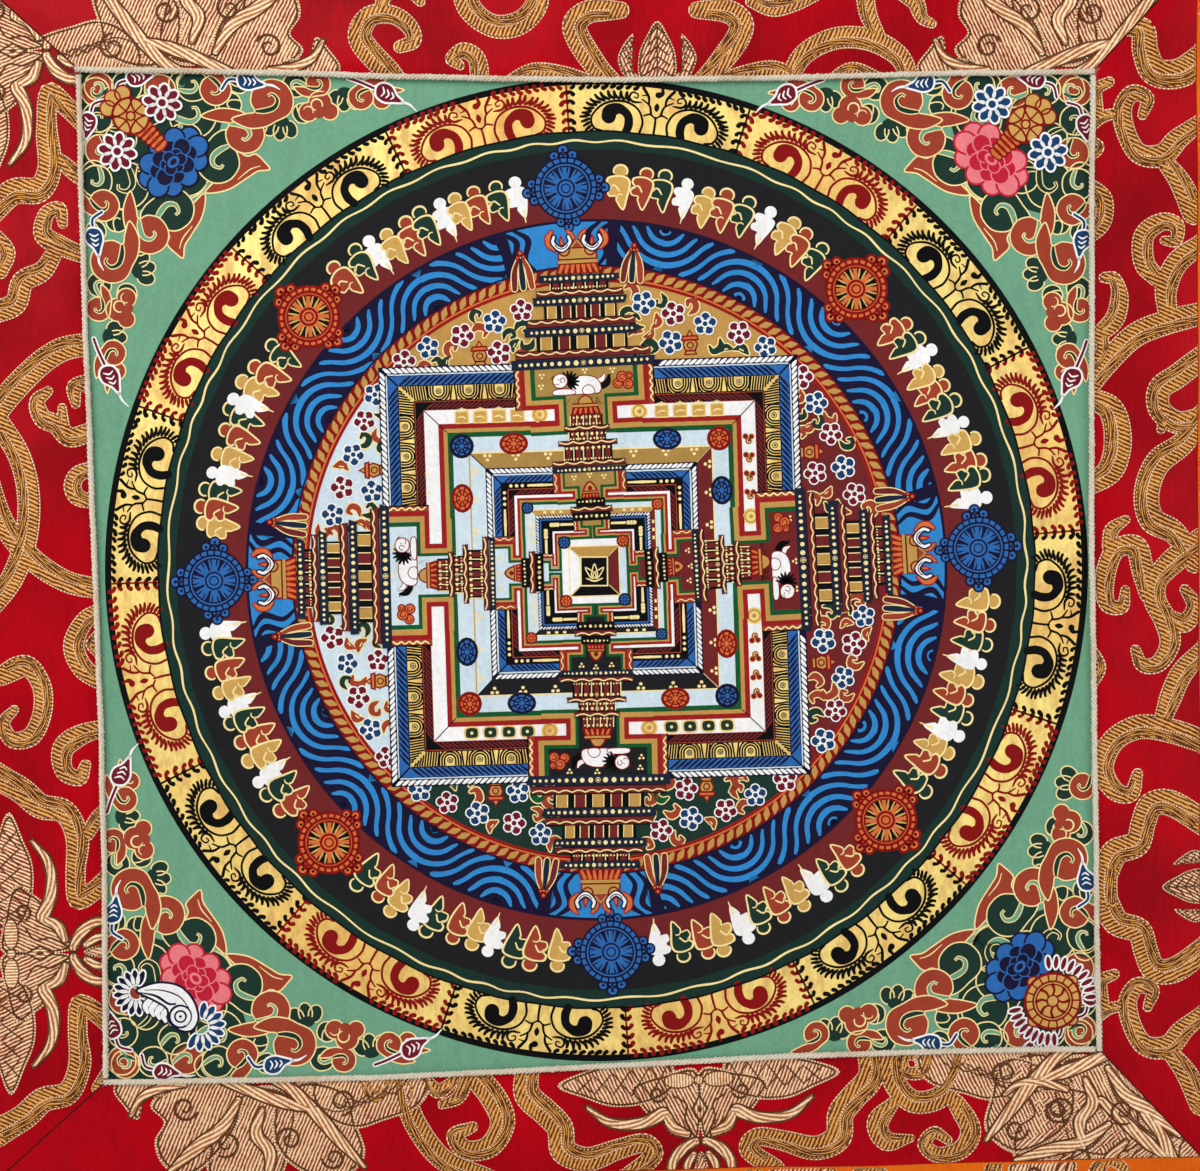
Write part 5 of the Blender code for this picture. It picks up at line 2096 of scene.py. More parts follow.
def paint_corners(palette):
    easel = Easel()
    rng = random.Random(89)
    for corner in range(4):
        e = corner_easel(easel.store, corner)
        side = e.moved(turn=-90, flip=True)
        heart_leaves(e, rng)
        arm(e, rng, (2, 2, 1, 2)[corner])
        arm(side, rng, (2, 2, 0, 2)[corner])
        bud_on_stem(e, [(10.6, 7.4), (11.6, 4.0), (14.6, 2.9)], 0.86, "wine", 18)
        bud_on_stem(side, [(9.0, 7.4), (10.2, 4.0), (13.2, 2.9)], 0.86, "wine", 18)
        if corner == 0:
            peony(e, 27.5, 27.5, 1.0, "azure", "navy", 22)
            jar(e, 15.5, 14.2, 135, 37)
            eight_petals(e, 24.6, 9.8, "wine", 44)
            eight_petals(e, 10.8, 24.4, "wine", 44)
        elif corner == 1:
            peony(e, 30.4, 26.0, 1.04, "pink", "rose", 22)
            jar(e, 20.4, 16.0, 135, 37)
            eight_petals(e, 30.0, 9.6, "blue", 44)
            eight_petals(e, 13.4, 24.0, "blue", 44)
        elif corner == 3:
            peony(e, 27.4, 29.8, 1.0, "pink", "rose", 22)
            frill(e, 9.6, 26.2, 4.6, 70, 300, 11, 5.0, 2.3, "navy", "white", 37)
            frill(e, 28.6, 15.4, 4.9, -120, 80, 9, 5.2, 2.5, "blue", "white", 37)
            conch(e, 42)
        else:
            peony(e, 23.4, 25.2, 0.98, "azure", "navy", 22)
            frill(e, 13.6, 14.6, 11.6, 84, 176, 9, 4.4, 1.9, "wine", "white", 37)
            frill(e, 13.6, 14.6, 11.6, -92, -12, 9, 4.4, 1.9, "wine", "white", 37)
            gold_wheel(e, 13.6, 14.6, 40)
    ob = piece("corner_gardens", easel, CANVAS_THICK / 2, PAINT_LAYER, palette)
    return [ob]


# ---------------------------------------------------------------- woven figures of the brocade


def pulled_in(p, edge, way, margin):
    """Points that lie past an edge, brought back to it. edge gives distances and way the direction back."""
    return p + np.maximum(edge + margin, 0)[:, None] * way


def panel_easel(side, inner, outer, margin=0.25):
    """An easel for one mitred strip: x runs along its inner seam clockwise and z outwards from it."""
    a = np.array(inner[0][side])
    d = np.array(inner[0][(side + 1) % 4]) - a
    length = math.hypot(*d)
    out = side_normal(inner[0], side)
    far_out = side_normal(outer[0], side)
    mitres = []
    for corner, way in ((side, 1), ((side + 1) % 4, -1)):
        root = np.array(inner[0][corner])
        run = np.array(outer[0][corner]) - root
        run /= math.hypot(*run)
        mitres.append((root, run, way))

    def place(p):
        share = p[:, :1] / length
        bow = bow_at(inner[1][side], np.clip(share, 0, 1))
        spots = a + d * share + out * (p[:, 1:] - bow)
        for _ in range(2):
            spots = pulled_in(spots, beyond(*outer, side, spots), -far_out, margin)
            spots = pulled_in(spots, -beyond(*inner, side, spots), out, margin)
            for root, run, way in mitres:
                normal = np.array([run[1], -run[0]]) * way
                spots = pulled_in(spots, -(spots - root) @ normal, normal, margin)
        return spots

    return Easel(place)


def patch(easel, outline, centre, paint, layer, rings=4):
    """A wide shape in rings of small cells about a point inside it."""
    outline = evened(outline, 2.2, closed=True)
    outline = np.vstack([outline, outline[:1]])
    t = np.linspace(0.02, 1, rings + 1)[:, None, None]
    grid = np.array(centre, float) * (1 - t) + outline[None] * t
    easel.cells(grid, paint, layer, grid)


def vine(easel, points, widths, side=1):
    """A gold band: cream picot edge, slanted ribs, and a smooth double rib along one side."""
    route = smooth(points, 6)
    full = spaced(route, widths)
    easel.rounded(route, full + 0.9, "picot", 0, 4)
    easel.rounded(route, full + 0.1, "brown", 1, 4)
    easel.rounded(route, full - 0.35, "scroll", 2, 4, True)
    ahead = np.gradient(route, axis=0)
    ahead /= np.linalg.norm(ahead, axis=1)[:, None]
    normal = np.stack([-ahead[:, 1], ahead[:, 0]], 1) * side
    inset = slice(1, len(route) - 2)
    for share, width, paint, layer in (
        (0.21, 0.40, "brown", 3),
        (0.30, 0.13, "rib", 4),
        (0.12, 0.13, "rib", 4),
        (0.01, 0.06, "picot", 4),
    ):
        q = route + normal * (full * share)[:, None]
        easel.line(q[inset], (full * width)[inset][::4], paint, layer, step=100, across=2)


def lobe(easel, points, centre, layer=2):
    """A pale gold shape with a cream edge and a brown line inside it."""
    outline = smooth(points, 5, closed=True)
    patch(easel, outline, centre, "picot", layer - 1)
    patch(easel, (outline - centre) * 0.975 + centre, centre, "motif", layer)
    easel.line(outline, 0.5, "picot", layer + 1, closed=True, step=3)
    easel.line((outline - centre) * 0.94 + centre, 0.6, "brown", layer + 1, closed=True, step=3)


def vein(easel, points, widths, layer=4):
    """A shiny cream stroke with a brown edge."""
    easel.stroke(points, widths, "sheen", layer, "brown", 0.6, 6, 3)


def coil(easel, x, z, size, start, way=1, layer=6):
    """A brown spiral line."""
    a = np.linspace(0, 2.7 * math.pi, 20)
    r = size * (1 - 0.78 * a / a[-1])
    angle = math.radians(start) + way * a
    route = np.stack([x + r * np.cos(angle), z + r * np.sin(angle)], 1)
    easel.line(route, [0.6, 0.85, 0.75, 0.5], "brown", layer, step=4)


def feather(e):
    """A spread of pale lobed leaves with bold veins, its foot on the seam."""
    lobe(e, [(-16, 1), (-13, 9), (-2, 13), (6, 15), (14, 12), (19, 5), (16, -1), (0, -2)], (3, 6))
    lobe(e, [(9, 4), (6, 14), (4, 24), (12, 31), (22, 28), (30, 20), (30, 8), (22, 1)], (17, 16))
    lobe(e, [(24, 6), (26, 20), (30, 30), (40, 33), (50, 30), (50, 20), (44, 8), (34, 2)], (38, 18))
    lobe(
        e, [(40, 2), (42, 14), (50, 24), (58, 29), (64, 25), (66, 18), (63, 12), (67, 7), (61, 2), (50, -1)],
        (53, 12),
    )
    lobe(e, [(56, -1), (62, 4), (69, 5), (71, 11), (75, 7), (78, 2), (72, -2)], (69, 2))
    vein(e, [(4, 27), (10, 20), (18, 10), (25, 3), (32, -1)], [1.0, 3.2, 3.6, 3.2, 2.4])
    vein(e, [(20, 9), (30, 6), (38, 3), (46, 0)], [1.4, 3.4, 3.0, 2.0])
    vein(e, [(62, 27), (54, 20), (46, 14), (41, 6)], [1.2, 3.6, 3.4, 1.6])
    vein(e, [(33, 30), (32, 22), (36, 16), (34, 9)], [1.4, 3.2, 3.4, 1.4])
    vein(e, [(57, 1), (64, 2), (70, 5), (73, 10)], [1.6, 2.2, 2.0, 0.8])
    spots = ((10, 7, 4.2, 90, 1), (26, 18, 4.0, 20, -1), (45, 19, 4.2, 60, 1), (57, 8, 4.0, 160, -1))
    for spot in (*spots, (13, 24, 3.6, 0, 1)):
        coil(e, *spot)
    for k in range(5):
        e.line(
            smooth([(-10 + 3 * k, 1 + k), (-6 + 4 * k, 5 + 1.2 * k), (-2 + 5 * k, 4 + k)], 4), 0.35, "brown",
            6,
        )


def bud(easel):
    """A lotus bud of three petals with chevron veins."""
    for e in halves(easel):
        lobe(e, [(2.5, -1), (6.5, 1), (8.5, 7), (7.4, 13.5), (11.5, 7), (9.5, 1), (6, -2)], (7.6, 3))
        for k in range(4):
            e.line([(6.6, 2 + 2.4 * k), (8.4, 3 + 2.4 * k), (9.8, 2 + 2.2 * k)], 0.35, "brown", 4)
    lobe(easel, [(-4.4, 0), (-5.3, 7), (-3.0, 13), (0, 17.5), (3.0, 13), (5.3, 7), (4.4, 0)], (0, 7), 4)
    for k in range(5):
        half = 4.4 - 0.5 * k
        easel.line([(-half, 1.2 + 3 * k), (0, 4.0 + 3 * k), (half, 1.2 + 3 * k)], 0.5, "brown", 6)
    easel.line([(0, 0), (0, 16)], 0.4, "brown", 6)


def double_lotus(easel):
    """A pale flower head: a bar of two capsules, netted wings, curled sepals and an arched foot."""
    for e in halves(easel):
        lobe(
            e, [(8, 26), (16, 22), (26, 21.5), (34, 24.5), (42, 28.5), (34, 32), (22, 34.5), (9, 34)],
            (22, 28),
        )
        for k in range(5):
            c = 12 + 5.6 * k
            reach = 4.6 - 0.55 * k
            e.line([(c - 2.6, 28 - reach * 0.9), (c + 2.6, 28 + reach)], 0.42, "brown", 4)
            e.line([(c - 2.6, 28 + reach), (c + 2.6, 28 - reach * 0.9)], 0.42, "brown", 4)
        lobe(e, [(1, 10), (5, 13), (9, 17), (14, 17.5), (18, 22), (20, 27), (10, 30), (0, 30)], (6, 21), 2)
        vein(e, [(11, 18.5), (18, 15.8), (27, 16.5), (33.5, 21.5)], [3.4, 2.8, 2.2, 0.8], 4)
        vein(e, [(4, 12), (8, 14), (10, 18)], [1.8, 3.0, 2.2], 4)
        e.fill(oval(9.6, 4.8, 5.9, 28.2, points=16), "brown", 5)
        e.fill(oval(8.7, 4.0, 5.9, 28.2, points=16), "picot", 6)
        vein(e, [(9.4, -1), (8.6, 3.5), (5.5, 7.5), (1.5, 9.6)], [1.8, 2.6, 2.8, 2.0], 4)
        vein(e, [(4.6, -1), (4.2, 2.5), (2.2, 5.6)], [1.4, 2.0, 1.6], 6)
        coil(e, 12.5, 24.5, 2.6, 200, 1, 7)
        e.line(smooth([(1.5, 11), (4.5, 16), (4.0, 21), (8, 24)], 4), 0.5, "brown", 5)
    easel.dot(0, 28.2, 3.0, "brown", 7, 12)
    easel.dot(0, 28.2, 2.3, "picot", 8, 12)
    easel.fill([(0, 15.2), (2.6, 19.4), (0, 24.2), (-2.6, 19.4)], "brown", 5)
    easel.fill([(0, 16.4), (1.8, 19.4), (0, 23.0), (-1.8, 19.4)], "picot", 6)
    easel.fill([(0, 18.2), (0.8, 19.4), (0, 21.0), (-0.8, 19.4)], "brown", 7)
    lobe(easel, [(-1.8, -1), (-1.4, 3), (0, 6.2), (1.4, 3), (1.8, -1)], (0, 1.5), 6)


def top_figures(e):
    feather(e)
    vine(
        e, [(96, -1), (88, 6), (84, 12), (87, 18), (94, 18.5), (99, 15), (100, 11), (96, 9)],
        [4, 6, 6.5, 6.5, 6, 5, 4.5, 3], -1,
    )
    vine(e, [(90, 20), (92, 25), (98, 27), (102, 23)], [3, 4, 4, 2.5])
    vine(e, [(114, 30), (117, 21), (124, 16), (132, 17), (137, 23), (136, 31)], [6, 6.5, 6, 6.5, 6, 6])
    vine(e, [(120, -1), (119, 6), (115, 8.5), (111.5, 6), (114, 4)], [4, 5, 4.5, 4, 2])
    vine(e, [(127, -1.5), (136, 2.4), (146, 1.6), (155, -1)], [3, 4.5, 4, 3])
    vine(
        e, [(160, -1), (155, 4), (149.5, 12), (148.5, 17), (153, 20.5), (162, 21)], [5, 6, 6.5, 6.5, 6, 4.5],
        -1,
    )
    bud(e.moved(173, 0))
    vine(e, [(186, -1), (191, 4), (197, 12), (198, 17), (193.5, 20.5), (185, 21)], [5, 6, 6.5, 6.5, 6, 4.5])
    vine(e, [(190, -1), (200, 1.8), (209, 2.6), (216, -1)], [3, 4, 4.5, 3])
    vine(e, [(201, 23), (207, 21), (213, 22), (221, 25)], [2.5, 4.5, 4, 3])
    vine(
        e, [(212, -1), (217, 7), (226, 11.5), (236, 11), (245, 6), (249, -1)], [4.5, 5.5, 5.8, 5.8, 5.5, 4.5],
        -1,
    )
    vine(e, [(224, -2), (231, 2), (240, -1)], [3, 4, 3])
    vine(e, [(239, 12), (236, 19), (235, 27)], [3.5, 4.5, 5])
    vine(e, [(245, 25), (250, 22), (252, 17), (255, 15)], [3, 4.5, 4, 2])
    feather(e.moved(329, 0, flip=True))


def right_figures(e):
    vine(e, [(-6, 35), (0, 27), (0, 19), (-6, 16), (-13, 15), (-14, 8)], [7, 8, 8, 7.5, 6.5, 4.5])
    for shift in (0, 267):
        r = e.moved(shift, 0)
        vine(
            r, [(15, 33), (20, 26), (25, 21), (24.5, 14), (18, 10), (11, 9), (6.5, 12), (8, 16.5), (13, 15)],
            [4.5, 5, 6, 6, 5.2, 5, 5, 4.2, 2.2],
        )
        vine(r, [(26, 21), (33, 26.5), (42, 31)], [4, 6, 7])
        vine(r, [(12.5, 7), (13.5, 3), (16, -1)], [2.4, 3, 4])
        vine(r, [(3, 5), (5.5, 1), (12, 1.5)], [2.4, 3.5, 3])
    vine(e, [(20, -1), (22.5, 1.8), (26, -1)], [2.4, 3, 2])
    vine(e, [(33, -1), (38, 3.6), (45, 3.4), (50, -1)], [3, 4.6, 4.4, 3], -1)
    vine(
        e, [(62, 20), (57, 16), (49, 16), (45, 21), (46, 25.5), (50.5, 25.5), (50.5, 22)],
        [4.5, 5.5, 5.6, 5.5, 5, 4, 2], -1,
    )
    vine(e, [(51, 34), (57, 26), (65, 22.5), (73, 23)], [5, 6, 6, 5])
    vine(e, [(72, 35), (75, 23), (79, 13), (87, 5), (95, -1)], [6, 6.5, 6.5, 6, 5])
    vine(e, [(61.5, 4), (62, 7), (67, 8.5), (74, 7), (79, 2)], [2.5, 4.6, 5, 5, 4], -1)
    vine(e, [(78, 3), (84, 3.4), (90, -1)], [3, 3.5, 3])
    vine(e, [(85, 34), (91, 26), (95, 20.5), (101, 20.5), (105, 26), (104, 33)], [6, 6.5, 6.5, 6, 6, 6], -1)
    vine(e, [(104, 22), (107, 21)], [3, 2])
    vine(
        e, [(103, 34), (111, 28), (117, 20), (126, 16.5), (134, 18), (138, 25), (147, 31)],
        [6.5, 6, 7, 7, 7, 6, 5.5], -1,
    )
    vine(e, [(97, -1), (101, 6), (110, 8), (119, 5.8), (124, -1)], [5, 7, 7.5, 7, 5], -1)
    vine(e, [(134, 10), (137, 6), (142, 5)], [2, 3.6, 3])
    vine(
        e,
        [
            (140, 33), (146, 25), (152, 19.5), (158, 19), (164, 22), (171, 23.5), (177, 20), (177.5, 15),
            (173, 13),
        ],
        [6, 6, 7, 6, 6, 6, 5.5, 4.4, 2.4],
    )
    vine(e, [(163, 22), (165, 28), (160, 31), (155, 28)], [4, 5, 4.4, 2.4])
    vine(
        e, [(156, 17), (148, 15), (142, 13), (143, 7), (151, 4), (159, 4.5), (160, 9), (155, 10)],
        [5, 6, 6, 5, 5, 5, 4, 2],
    )
    vine(e, [(173, 34), (180, 27), (188, 23), (196, 20)], [5, 6, 6, 4])
    vine(
        e, [(201, 34), (197.5, 24), (196, 14), (200, 6), (208, 2.6), (215, 6), (216, 11), (210, 13)],
        [6, 6.5, 6.5, 6.5, 6, 6, 5, 2.4],
    )
    for half in halves(e.moved(244)):
        vine(
            half, [(-19, 33), (-25, 23), (-24.5, 17), (-19, 14.5), (-13, 12.5), (-10.5, 6), (-4, 2.6)],
            [7, 7, 7, 6.6, 6.6, 7, 7],
        )
    vine(e, [(237, 3), (244, 2.4), (251, 3)], [6.6, 7, 6.6])
    bud(e.moved(244, 36, 180, 0.92))
    vine(e, [(172, -1), (178, 1.8), (184, -1)], [3, 3.5, 3])


def bottom_figures(e):
    feather(e.moved(-42, 34, -24))
    feather(e.moved(38.5, 0, flip=True))
    vine(e, [(40, -1), (43, 8), (48, 14), (56, 15), (61.5, 9), (63, -1)], [5, 6, 6, 6, 6, 5], -1)
    vine(
        e, [(43, 16), (39, 24), (42, 30), (49, 31.5), (53, 28), (50, 24.5), (46, 27)],
        [4.5, 5.4, 5.4, 5, 4.4, 3.4, 2],
    )
    vine(e, [(62, 15), (67, 21), (64.5, 26.5), (57, 26)], [3, 5.8, 5, 1.5])
    vine(e, [(51, 1), (53, 6), (58, 6), (58.5, 1.5), (55, 1.6)], [3, 3.4, 3.2, 2.6, 1.6])
    vine(
        e,
        [
            (69, -1), (68.5, 7), (74, 13), (78, 18), (79, 25), (86, 28), (95, 25.5), (103, 24), (105.5, 28),
            (98, 34),
        ],
        [6, 7, 7, 7, 7, 6.5, 5.5, 5, 5, 5],
    )
    double_lotus(e.moved(120, 33.8, 180))
    vine(
        e,
        [
            (142, 34), (134.5, 28), (137, 24), (145, 25.5), (154, 28), (161, 25), (162, 18), (166, 13),
            (171.5, 7), (171, -1),
        ],
        [5, 5, 5, 5.5, 6.5, 7, 7, 7, 7, 6],
        -1,
    )
    vine(
        e, [(189, -1), (182, 7), (179, 15), (183, 22), (190, 23), (193.5, 18.5), (188, 16)],
        [4, 6.5, 7, 6.6, 6, 5, 2.4],
    )
    vine(e, [(189, 1), (192, 7), (197, 9)], [3, 3.6, 2])
    vine(e, [(193, 2), (198, 5), (202, 1)], [2.4, 3.6, 2.4])
    vine(e, [(184, 32), (197, 26), (205, 15), (208, 5), (208.5, -1)], [5, 6, 6, 6, 5.6])
    feather(e.moved(217, 0))
    vine(e, [(212, 0), (217, 6), (221, 0)], [2.4, 4, 2.4])


def left_figures(e):
    vine(
        e, [(-15, 34), (-10, 25), (-5, 19), (-3, 11.5), (5, 8), (15, 8.6), (23, 8), (21, 3.5), (17, -1)],
        [8, 7, 7, 6.4, 6, 6, 5, 5, 5], -1,
    )
    vine(e, [(-2, 3), (4, -1)], [2.4, 3])
    double_lotus(e.moved(39, 0))
    vine(
        e, [(93, 34), (88, 25), (83, 19), (81, 11.5), (73, 8), (63, 8.6), (55, 8), (57, 3.5), (61, -1)],
        [8, 7, 7, 6.4, 6, 6, 5, 5, 5],
    )
    vine(e, [(74, 5), (79, 2), (82, -1)], [3, 3.6, 3])
    vine(
        e, [(112, 26), (108, 29.5), (103, 27), (104, 21), (111, 17.5), (119, 17.5), (125, 22), (122, 30)],
        [2, 4, 5, 5, 5, 5, 6, 5], -1,
    )
    vine(e, [(106, -1), (104, 6), (100, 11.5), (93.5, 11.5), (91, 7), (95, 5)], [4, 5, 6, 5.6, 4.6, 2.4])
    vine(e, [(119, -1), (124, 5), (131, 7.5), (138, 4), (141, -1)], [4, 5.4, 5.6, 5, 4], -1)
    vine(e, [(128, 0.5), (131, 2.4), (134, 0.5)], [1.6, 2.2, 1.6])
    vine(e, [(147.5, -1), (150, 9), (157, 19), (168, 27), (184, 32)], [5.4, 6, 6, 6, 6], -1)
    vine(e, [(141, 34), (151, 25.5), (163, 20.5), (176, 19), (188, 21.5), (199, 28)], [6, 6])
    vine(e, [(192, 34), (204, 26), (213, 17), (219, 8), (221, -1)], [6, 6.5, 7, 6.6, 6])
    vine(e, [(173.5, -1), (175, 4.4), (178.6, 5.8), (182, 4), (184, -1)], [3, 4, 4.4, 4, 3], -1)
    vine(e, [(195, -1), (193, 6), (197, 10), (199, 14), (204, 15.5), (207, 12)], [4.4, 5, 5, 5, 4.4, 2.2])
    vine(e, [(197, 8), (202, 8)], [3, 1.8])
    vine(e, [(203, 4), (208, 4), (210, -1)], [2, 4, 3.4])
    vine(e, [(231, 28), (233.5, 21), (240, 18.5), (243, 12.5), (248, 9)], [6, 6, 6, 5.6, 4.4])
    vine(e, [(247, -1), (250, 6), (254, 12), (260, 11), (261.5, 7), (257, 6)], [4, 4.6, 5.2, 5, 4, 2.2], -1)
    vine(
        e, [(260, 29), (267, 21), (267.5, 13), (274, 9.5), (285, 10), (296, 9), (292, 4), (287, -1)],
        [7, 7, 7, 6.4, 6, 5, 5, 5], -1,
    )
    vine(e, [(276, 6), (272, 2), (270, -1)], [3, 4, 4])
    vine(e, [(243, 25), (249, 23), (255, 27)], [3, 4, 3])
    double_lotus(e.moved(309, 0))


def make_brocade(palette, cells):
    """The four red strips, the gold woven into them, and dark lines of painted shade in the creases at their
    mitres.
    """
    inner = (OPENING, OPENING_BOW)
    outer = (BROCADE_SEAM, BROCADE_BOW)
    satin = palette["satin"], palette["satin_back"]
    panels = make_panels("brocade", inner, outer, BROCADE_THICK, *satin, cells, 30, "red_brocade")
    figures = []
    for side, draw in enumerate((top_figures, right_figures, bottom_figures, left_figures)):
        easel = panel_easel(side, inner, outer)
        draw(easel)
        ob = piece(f"brocade_{SIDES[side]}_figures", easel, BROCADE_THICK / 2 + 0.02, WEAVE_LAYER, palette)
        figures.append([ob])
    # Dark lines along the mitres: painted shade where the seams crease.
    crease = Easel()
    for start, end in zip(OPENING, BROCADE_SEAM):
        crease.line([start, end], 0.5, "crease", 1, step=1.5)
    ob = piece("mitre_crease_shade", crease, BROCADE_THICK / 2 + 0.02, PAINT_LAYER, palette)
    figures[0].append(ob)
    return panels, figures


STITCH_PITCH = 4.5
HEM = 8.2


def strip_figures(e, length, side):
    """Rolling gold scrolls and pale buds, seen in part on each narrow strip."""
    for k, x in enumerate(np.arange(-10.0, length + 12, 24), side):
        if k % 3 == 0:
            vine(
                e, [(x, 20), (x + 6, 12), (x + 14, 11), (x + 18, 5), (x + 14, 0), (x + 9, 3)],
                [4, 5, 5, 5, 4, 2],
            )
        elif k % 3 == 1:
            lobe(e, [(x, 0), (x + 3, 8), (x + 10, 12), (x + 17, 9), (x + 20, 1), (x + 10, -1)], (x + 10, 4))
            vein(e, [(x + 3, 0), (x + 7, 6), (x + 15, 8)], [1.4, 2.6, 1.2])
            coil(e, x + 13, 4, 3.0, 90)
            vine(e, [(x - 4, 24), (x + 5, 17), (x + 14, 18), (x + 22, 24)], [4, 5, 5, 4])
        else:
            vine(e, [(x, -1), (x + 3, 7), (x + 11, 9), (x + 17, 15), (x + 16, 24)], [4, 5, 5, 5, 5], -1)


def make_strips(palette, cells):
    """The four orange strips, their gold scrolls and the stitches of their hems."""
    inner = (BROCADE_SEAM, BROCADE_BOW)
    outer = (OUTER_EDGE, OUTER_BOW)

    def hem(p):
        return np.where(outside(*outer, p) > -HEM - 0.8, 0.5, 0.0)

    satin = palette["strip"], palette["strip_back"]
    panels = make_panels("outer_strip", inner, outer, STRIP_THICK, *satin, cells, 18, "orange_brocade", hem)
    figures = []
    for side in range(4):
        easel = panel_easel(side, inner, outer, 0.5)
        length = math.dist(BROCADE_SEAM[side], BROCADE_SEAM[(side + 1) % 4])
        strip_figures(easel, length, side)
        ob = piece(f"outer_strip_{SIDES[side]}_figures", easel, STRIP_THICK / 2 + 0.02, WEAVE_LAYER, palette)
        figures.append([ob])
        stitches = Easel()
        count = int(math.dist(OUTER_EDGE[side], OUTER_EDGE[(side + 1) % 4]) / STITCH_PITCH)
        out = side_normal(OUTER_EDGE, side)
        for k in range(4, count - 4):
            a, b = (
                along(OUTER_EDGE, OUTER_BOW, side, (k + share) / count) - out * HEM for share in (0.15, 0.7)
            )
            stitches.line([a, b], 0.5, "stitch", 7)
        ob = piece(
            f"outer_strip_{SIDES[side]}_stitches", stitches, STRIP_THICK / 2 + 0.02, WEAVE_LAYER, palette
        )
        figures[-1].append(ob)
    return panels, figures


def make_cords(palette, pitch):
    """The four cords, which pass each other at two corners and butt at the others."""
    past = CORD_DIAMETER / 2
    short = -(past + GAP + 0.1)
    ends = ((past, past), (short, past), (short, past), (short, short))
    for side, (start, end) in enumerate(ends):
        make_cord(side, start, end, palette, pitch)


def make_stage(distance):
    """A pale floor, three soft lights, the world's light and the camera."""
    paint, tree, shader = material("studio_floor")
    connect(tree, shader, Base_Color=(0.80, 0.79, 0.77), Roughness=0.9)
    low = CAD_BOX[0][2] - 0.03
    stage_plane("floor", [(-3, -3, low), (3, -3, low), (3, 3, low), (-3, 3, low)], paint)
    middle = (0.0054, 0.0, -0.2034)
    soft_light("key_light", (-0.55, -0.9, 0.45), middle, (0.9, 0.9), 11.8, (1.0, 0.985, 0.95))
    soft_light("fill_light", (0.8, -0.8, 0.0), middle, (0.9, 0.9), 4.9, (0.97, 0.98, 1.0))
    soft_light("back_light", (0.3, 0.9, 0.3), middle, (0.9, 0.9), 6.0, (1.0, 1.0, 1.0))
    world = bpy.data.worlds.new("studio")
    bpy.context.scene.world = world
    world.use_nodes = True
    connect(world.node_tree, world.node_tree.nodes["Background"], Color=(0.92, 0.94, 1.0), Strength=0.15)
    bpy.context.scene.view_settings.view_transform = "Standard"
    camera = bpy.data.cameras.new("camera")
    camera.sensor_width = 36.0
    camera.lens = 50.0
    ob = new_object("camera", camera)
    ob.location = (middle[0], -distance, middle[2])
    ob.rotation_euler = (math.pi / 2, 0.0, 0.0)
    bpy.context.scene.camera = ob


def declare_sheets(made):
    flat_area(OPENING)
    for kind, inner, outer in (("brocade", OPENING, BROCADE_SEAM), ("strips", BROCADE_SEAM, OUTER_EDGE)):
        panels, figures = made[kind]
        for side, ob in enumerate(panels):
            following = (side + 1) % 4
            outline = (inner[side], inner[following], outer[following], outer[side])
            long_edge = math.dist(outer[side], outer[following]) * MM
            area = flat_area(outline)
            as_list(figures[side])


# ---------------------------------------------------------------- the add-on


class ThangkaColours(bpy.types.PropertyGroup):
    """The colours of the paints and cloths."""


for _key, _label, _colour in PAINTS + CLOTHS:
    ThangkaColours.__annotations__[_key] = FloatVectorProperty(
        name=_label,
        description=f"Colour of the {_label.lower()}",
        default=_colour,
        min=0.0,
        max=1.0,
        size=3,
        subtype="COLOR_GAMMA",
    )


class ThangkaSizes(bpy.types.PropertyGroup):
    """Sizes that change how fine the cloth and paint are."""

    canvas_cells: IntProperty(
        name="Canvas cells", description="Cells across the canvas sheet", default=72, min=20, max=200
    )
    panel_cells: IntProperty(
        name="Panel cells", description="Cells along each brocade strip", default=220, min=40, max=400
    )
    cord_pitch: FloatProperty(
        name="Cord pitch", description="Length of one turn of the twist, in millimetres", default=3.9, min=2.0
    )
    view_distance: FloatProperty(
        name="View distance",
        description="From the camera to the cloth",
        default=0.5,
        min=0.2,
        unit="LENGTH",
        subtype="DISTANCE",
    )


PALETTE = {}
MADE = {}


class THANGKA_OT_stage(bpy.types.Operator):
    """Makes the floor, the soft lights and the camera"""

    bl_idname = "thangka.stage"
    bl_label = "Stage"

    def execute(self, context):
        make_stage(context.scene.thangka_sizes.view_distance)
        return {"FINISHED"}


class THANGKA_OT_materials(bpy.types.Operator):
    """Mixes every paint and cloth material"""

    bl_idname = "thangka.materials"
    bl_label = "Paints and cloths"

    def execute(self, context):
        PALETTE.update(make_palette())
        return {"FINISHED"}


class THANGKA_OT_canvas(bpy.types.Operator):
    """Makes the canvas sheet with its mint ground"""

    bl_idname = "thangka.canvas"
    bl_label = "Canvas"

    def execute(self, context):
        MADE["canvas"] = make_canvas(PALETTE, context.scene.thangka_sizes.canvas_cells)
        return {"FINISHED"}


class THANGKA_OT_brocade(bpy.types.Operator):
    """Makes the four strips of red brocade with their woven gold"""

    bl_idname = "thangka.brocade"
    bl_label = "Brocade"

    def execute(self, context):
        MADE["brocade"] = make_brocade(PALETTE, context.scene.thangka_sizes.panel_cells)
        return {"FINISHED"}


class THANGKA_OT_strips(bpy.types.Operator):
    """Makes the four hemmed orange strips"""

    bl_idname = "thangka.strips"
    bl_label = "Outer strips"

    def execute(self, context):
        MADE["strips"] = make_strips(PALETTE, context.scene.thangka_sizes.panel_cells)
        return {"FINISHED"}


class THANGKA_OT_cords(bpy.types.Operator):
    """Twists the four cotton cords over the seam"""

    bl_idname = "thangka.cords"
    bl_label = "Cords"

    def execute(self, context):
        make_cords(PALETTE, context.scene.thangka_sizes.cord_pitch)
        return {"FINISHED"}


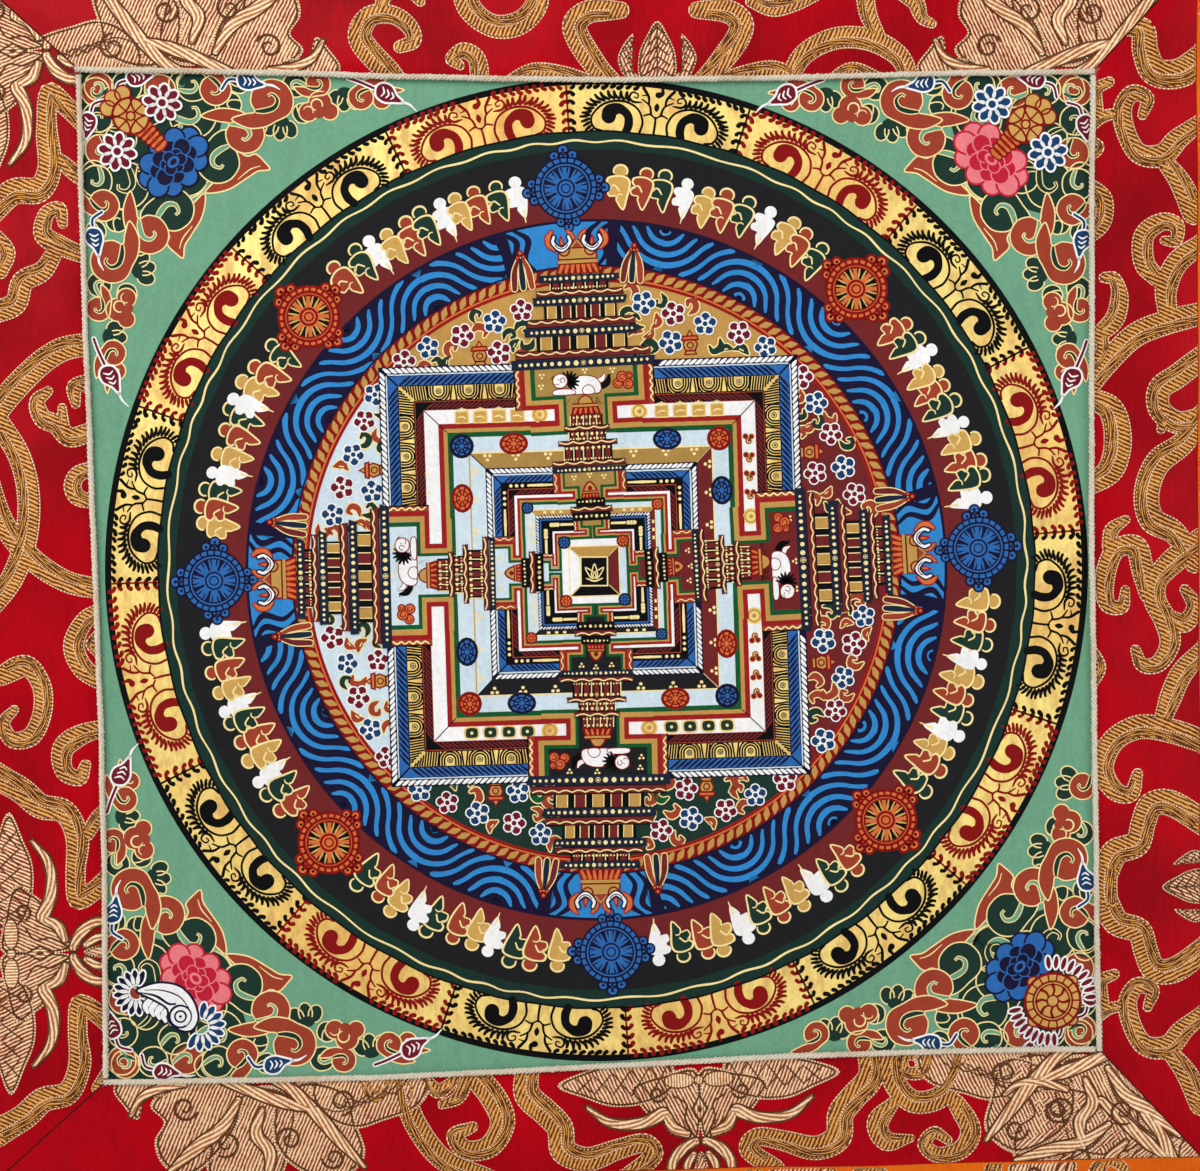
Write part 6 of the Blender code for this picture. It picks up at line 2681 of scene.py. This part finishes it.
class THANGKA_OT_rings(bpy.types.Operator):
    """Paints the rings of the mandala"""

    bl_idname = "thangka.rings"
    bl_label = "Rings"

    def execute(self, context):
        MADE["rings"] = paint_rings(PALETTE)
        return {"FINISHED"}


class THANGKA_OT_palace(bpy.types.Operator):
    """Paints the palace, its gates and its towers"""

    bl_idname = "thangka.palace"
    bl_label = "Palace"

    def execute(self, context):
        MADE["palace"] = paint_palace(PALETTE)
        return {"FINISHED"}


class THANGKA_OT_corners(bpy.types.Operator):
    """Paints the scrolling leaves, flowers and offerings in the four corners"""

    bl_idname = "thangka.corners"
    bl_label = "Corners"

    def execute(self, context):
        MADE["corners"] = paint_corners(PALETTE)
        return {"FINISHED"}


class THANGKA_OT_declare(bpy.types.Operator):
    """Works out the canvas's flat area and each strip's outline, flat area and long edge, and keeps none of
    them
    """

    bl_idname = "thangka.declare"
    bl_label = "Cut sizes"

    def execute(self, context):
        declare_sheets(MADE)
        return {"FINISHED"}


STEPS = (
    THANGKA_OT_materials,
    THANGKA_OT_stage,
    THANGKA_OT_cords,
    THANGKA_OT_canvas,
    THANGKA_OT_brocade,
    THANGKA_OT_strips,
    THANGKA_OT_rings,
    THANGKA_OT_palace,
    THANGKA_OT_corners,
    THANGKA_OT_declare,
)


class THANGKA_PT_panel(bpy.types.Panel):
    """Lists the steps in order"""

    bl_label = "Thangka"
    bl_idname = "THANGKA_PT_panel"
    bl_space_type = "VIEW_3D"
    bl_region_type = "UI"
    bl_category = "Thangka"

    def draw(self, context):
        for key in ThangkaSizes.__annotations__:
            self.layout.prop(context.scene.thangka_sizes, key)
        for key, _, _ in PAINTS + CLOTHS:
            self.layout.prop(context.scene.thangka_colours, key)
        for step in STEPS:
            self.layout.operator(step.bl_idname)


CLASSES = (ThangkaColours, ThangkaSizes, *STEPS, THANGKA_PT_panel)


def register():
    for cls in CLASSES:
        bpy.utils.register_class(cls)
    bpy.types.Scene.thangka_colours = bpy.props.PointerProperty(type=ThangkaColours)
    bpy.types.Scene.thangka_sizes = bpy.props.PointerProperty(type=ThangkaSizes)


def unregister():
    del bpy.types.Scene.thangka_sizes
    del bpy.types.Scene.thangka_colours
    for cls in reversed(CLASSES):
        bpy.utils.unregister_class(cls)


def main():
    register()
    for step in STEPS:
        family, name = step.bl_idname.split(".")
        getattr(getattr(bpy.ops, family), name)()


if __name__ == "__main__":
    main()
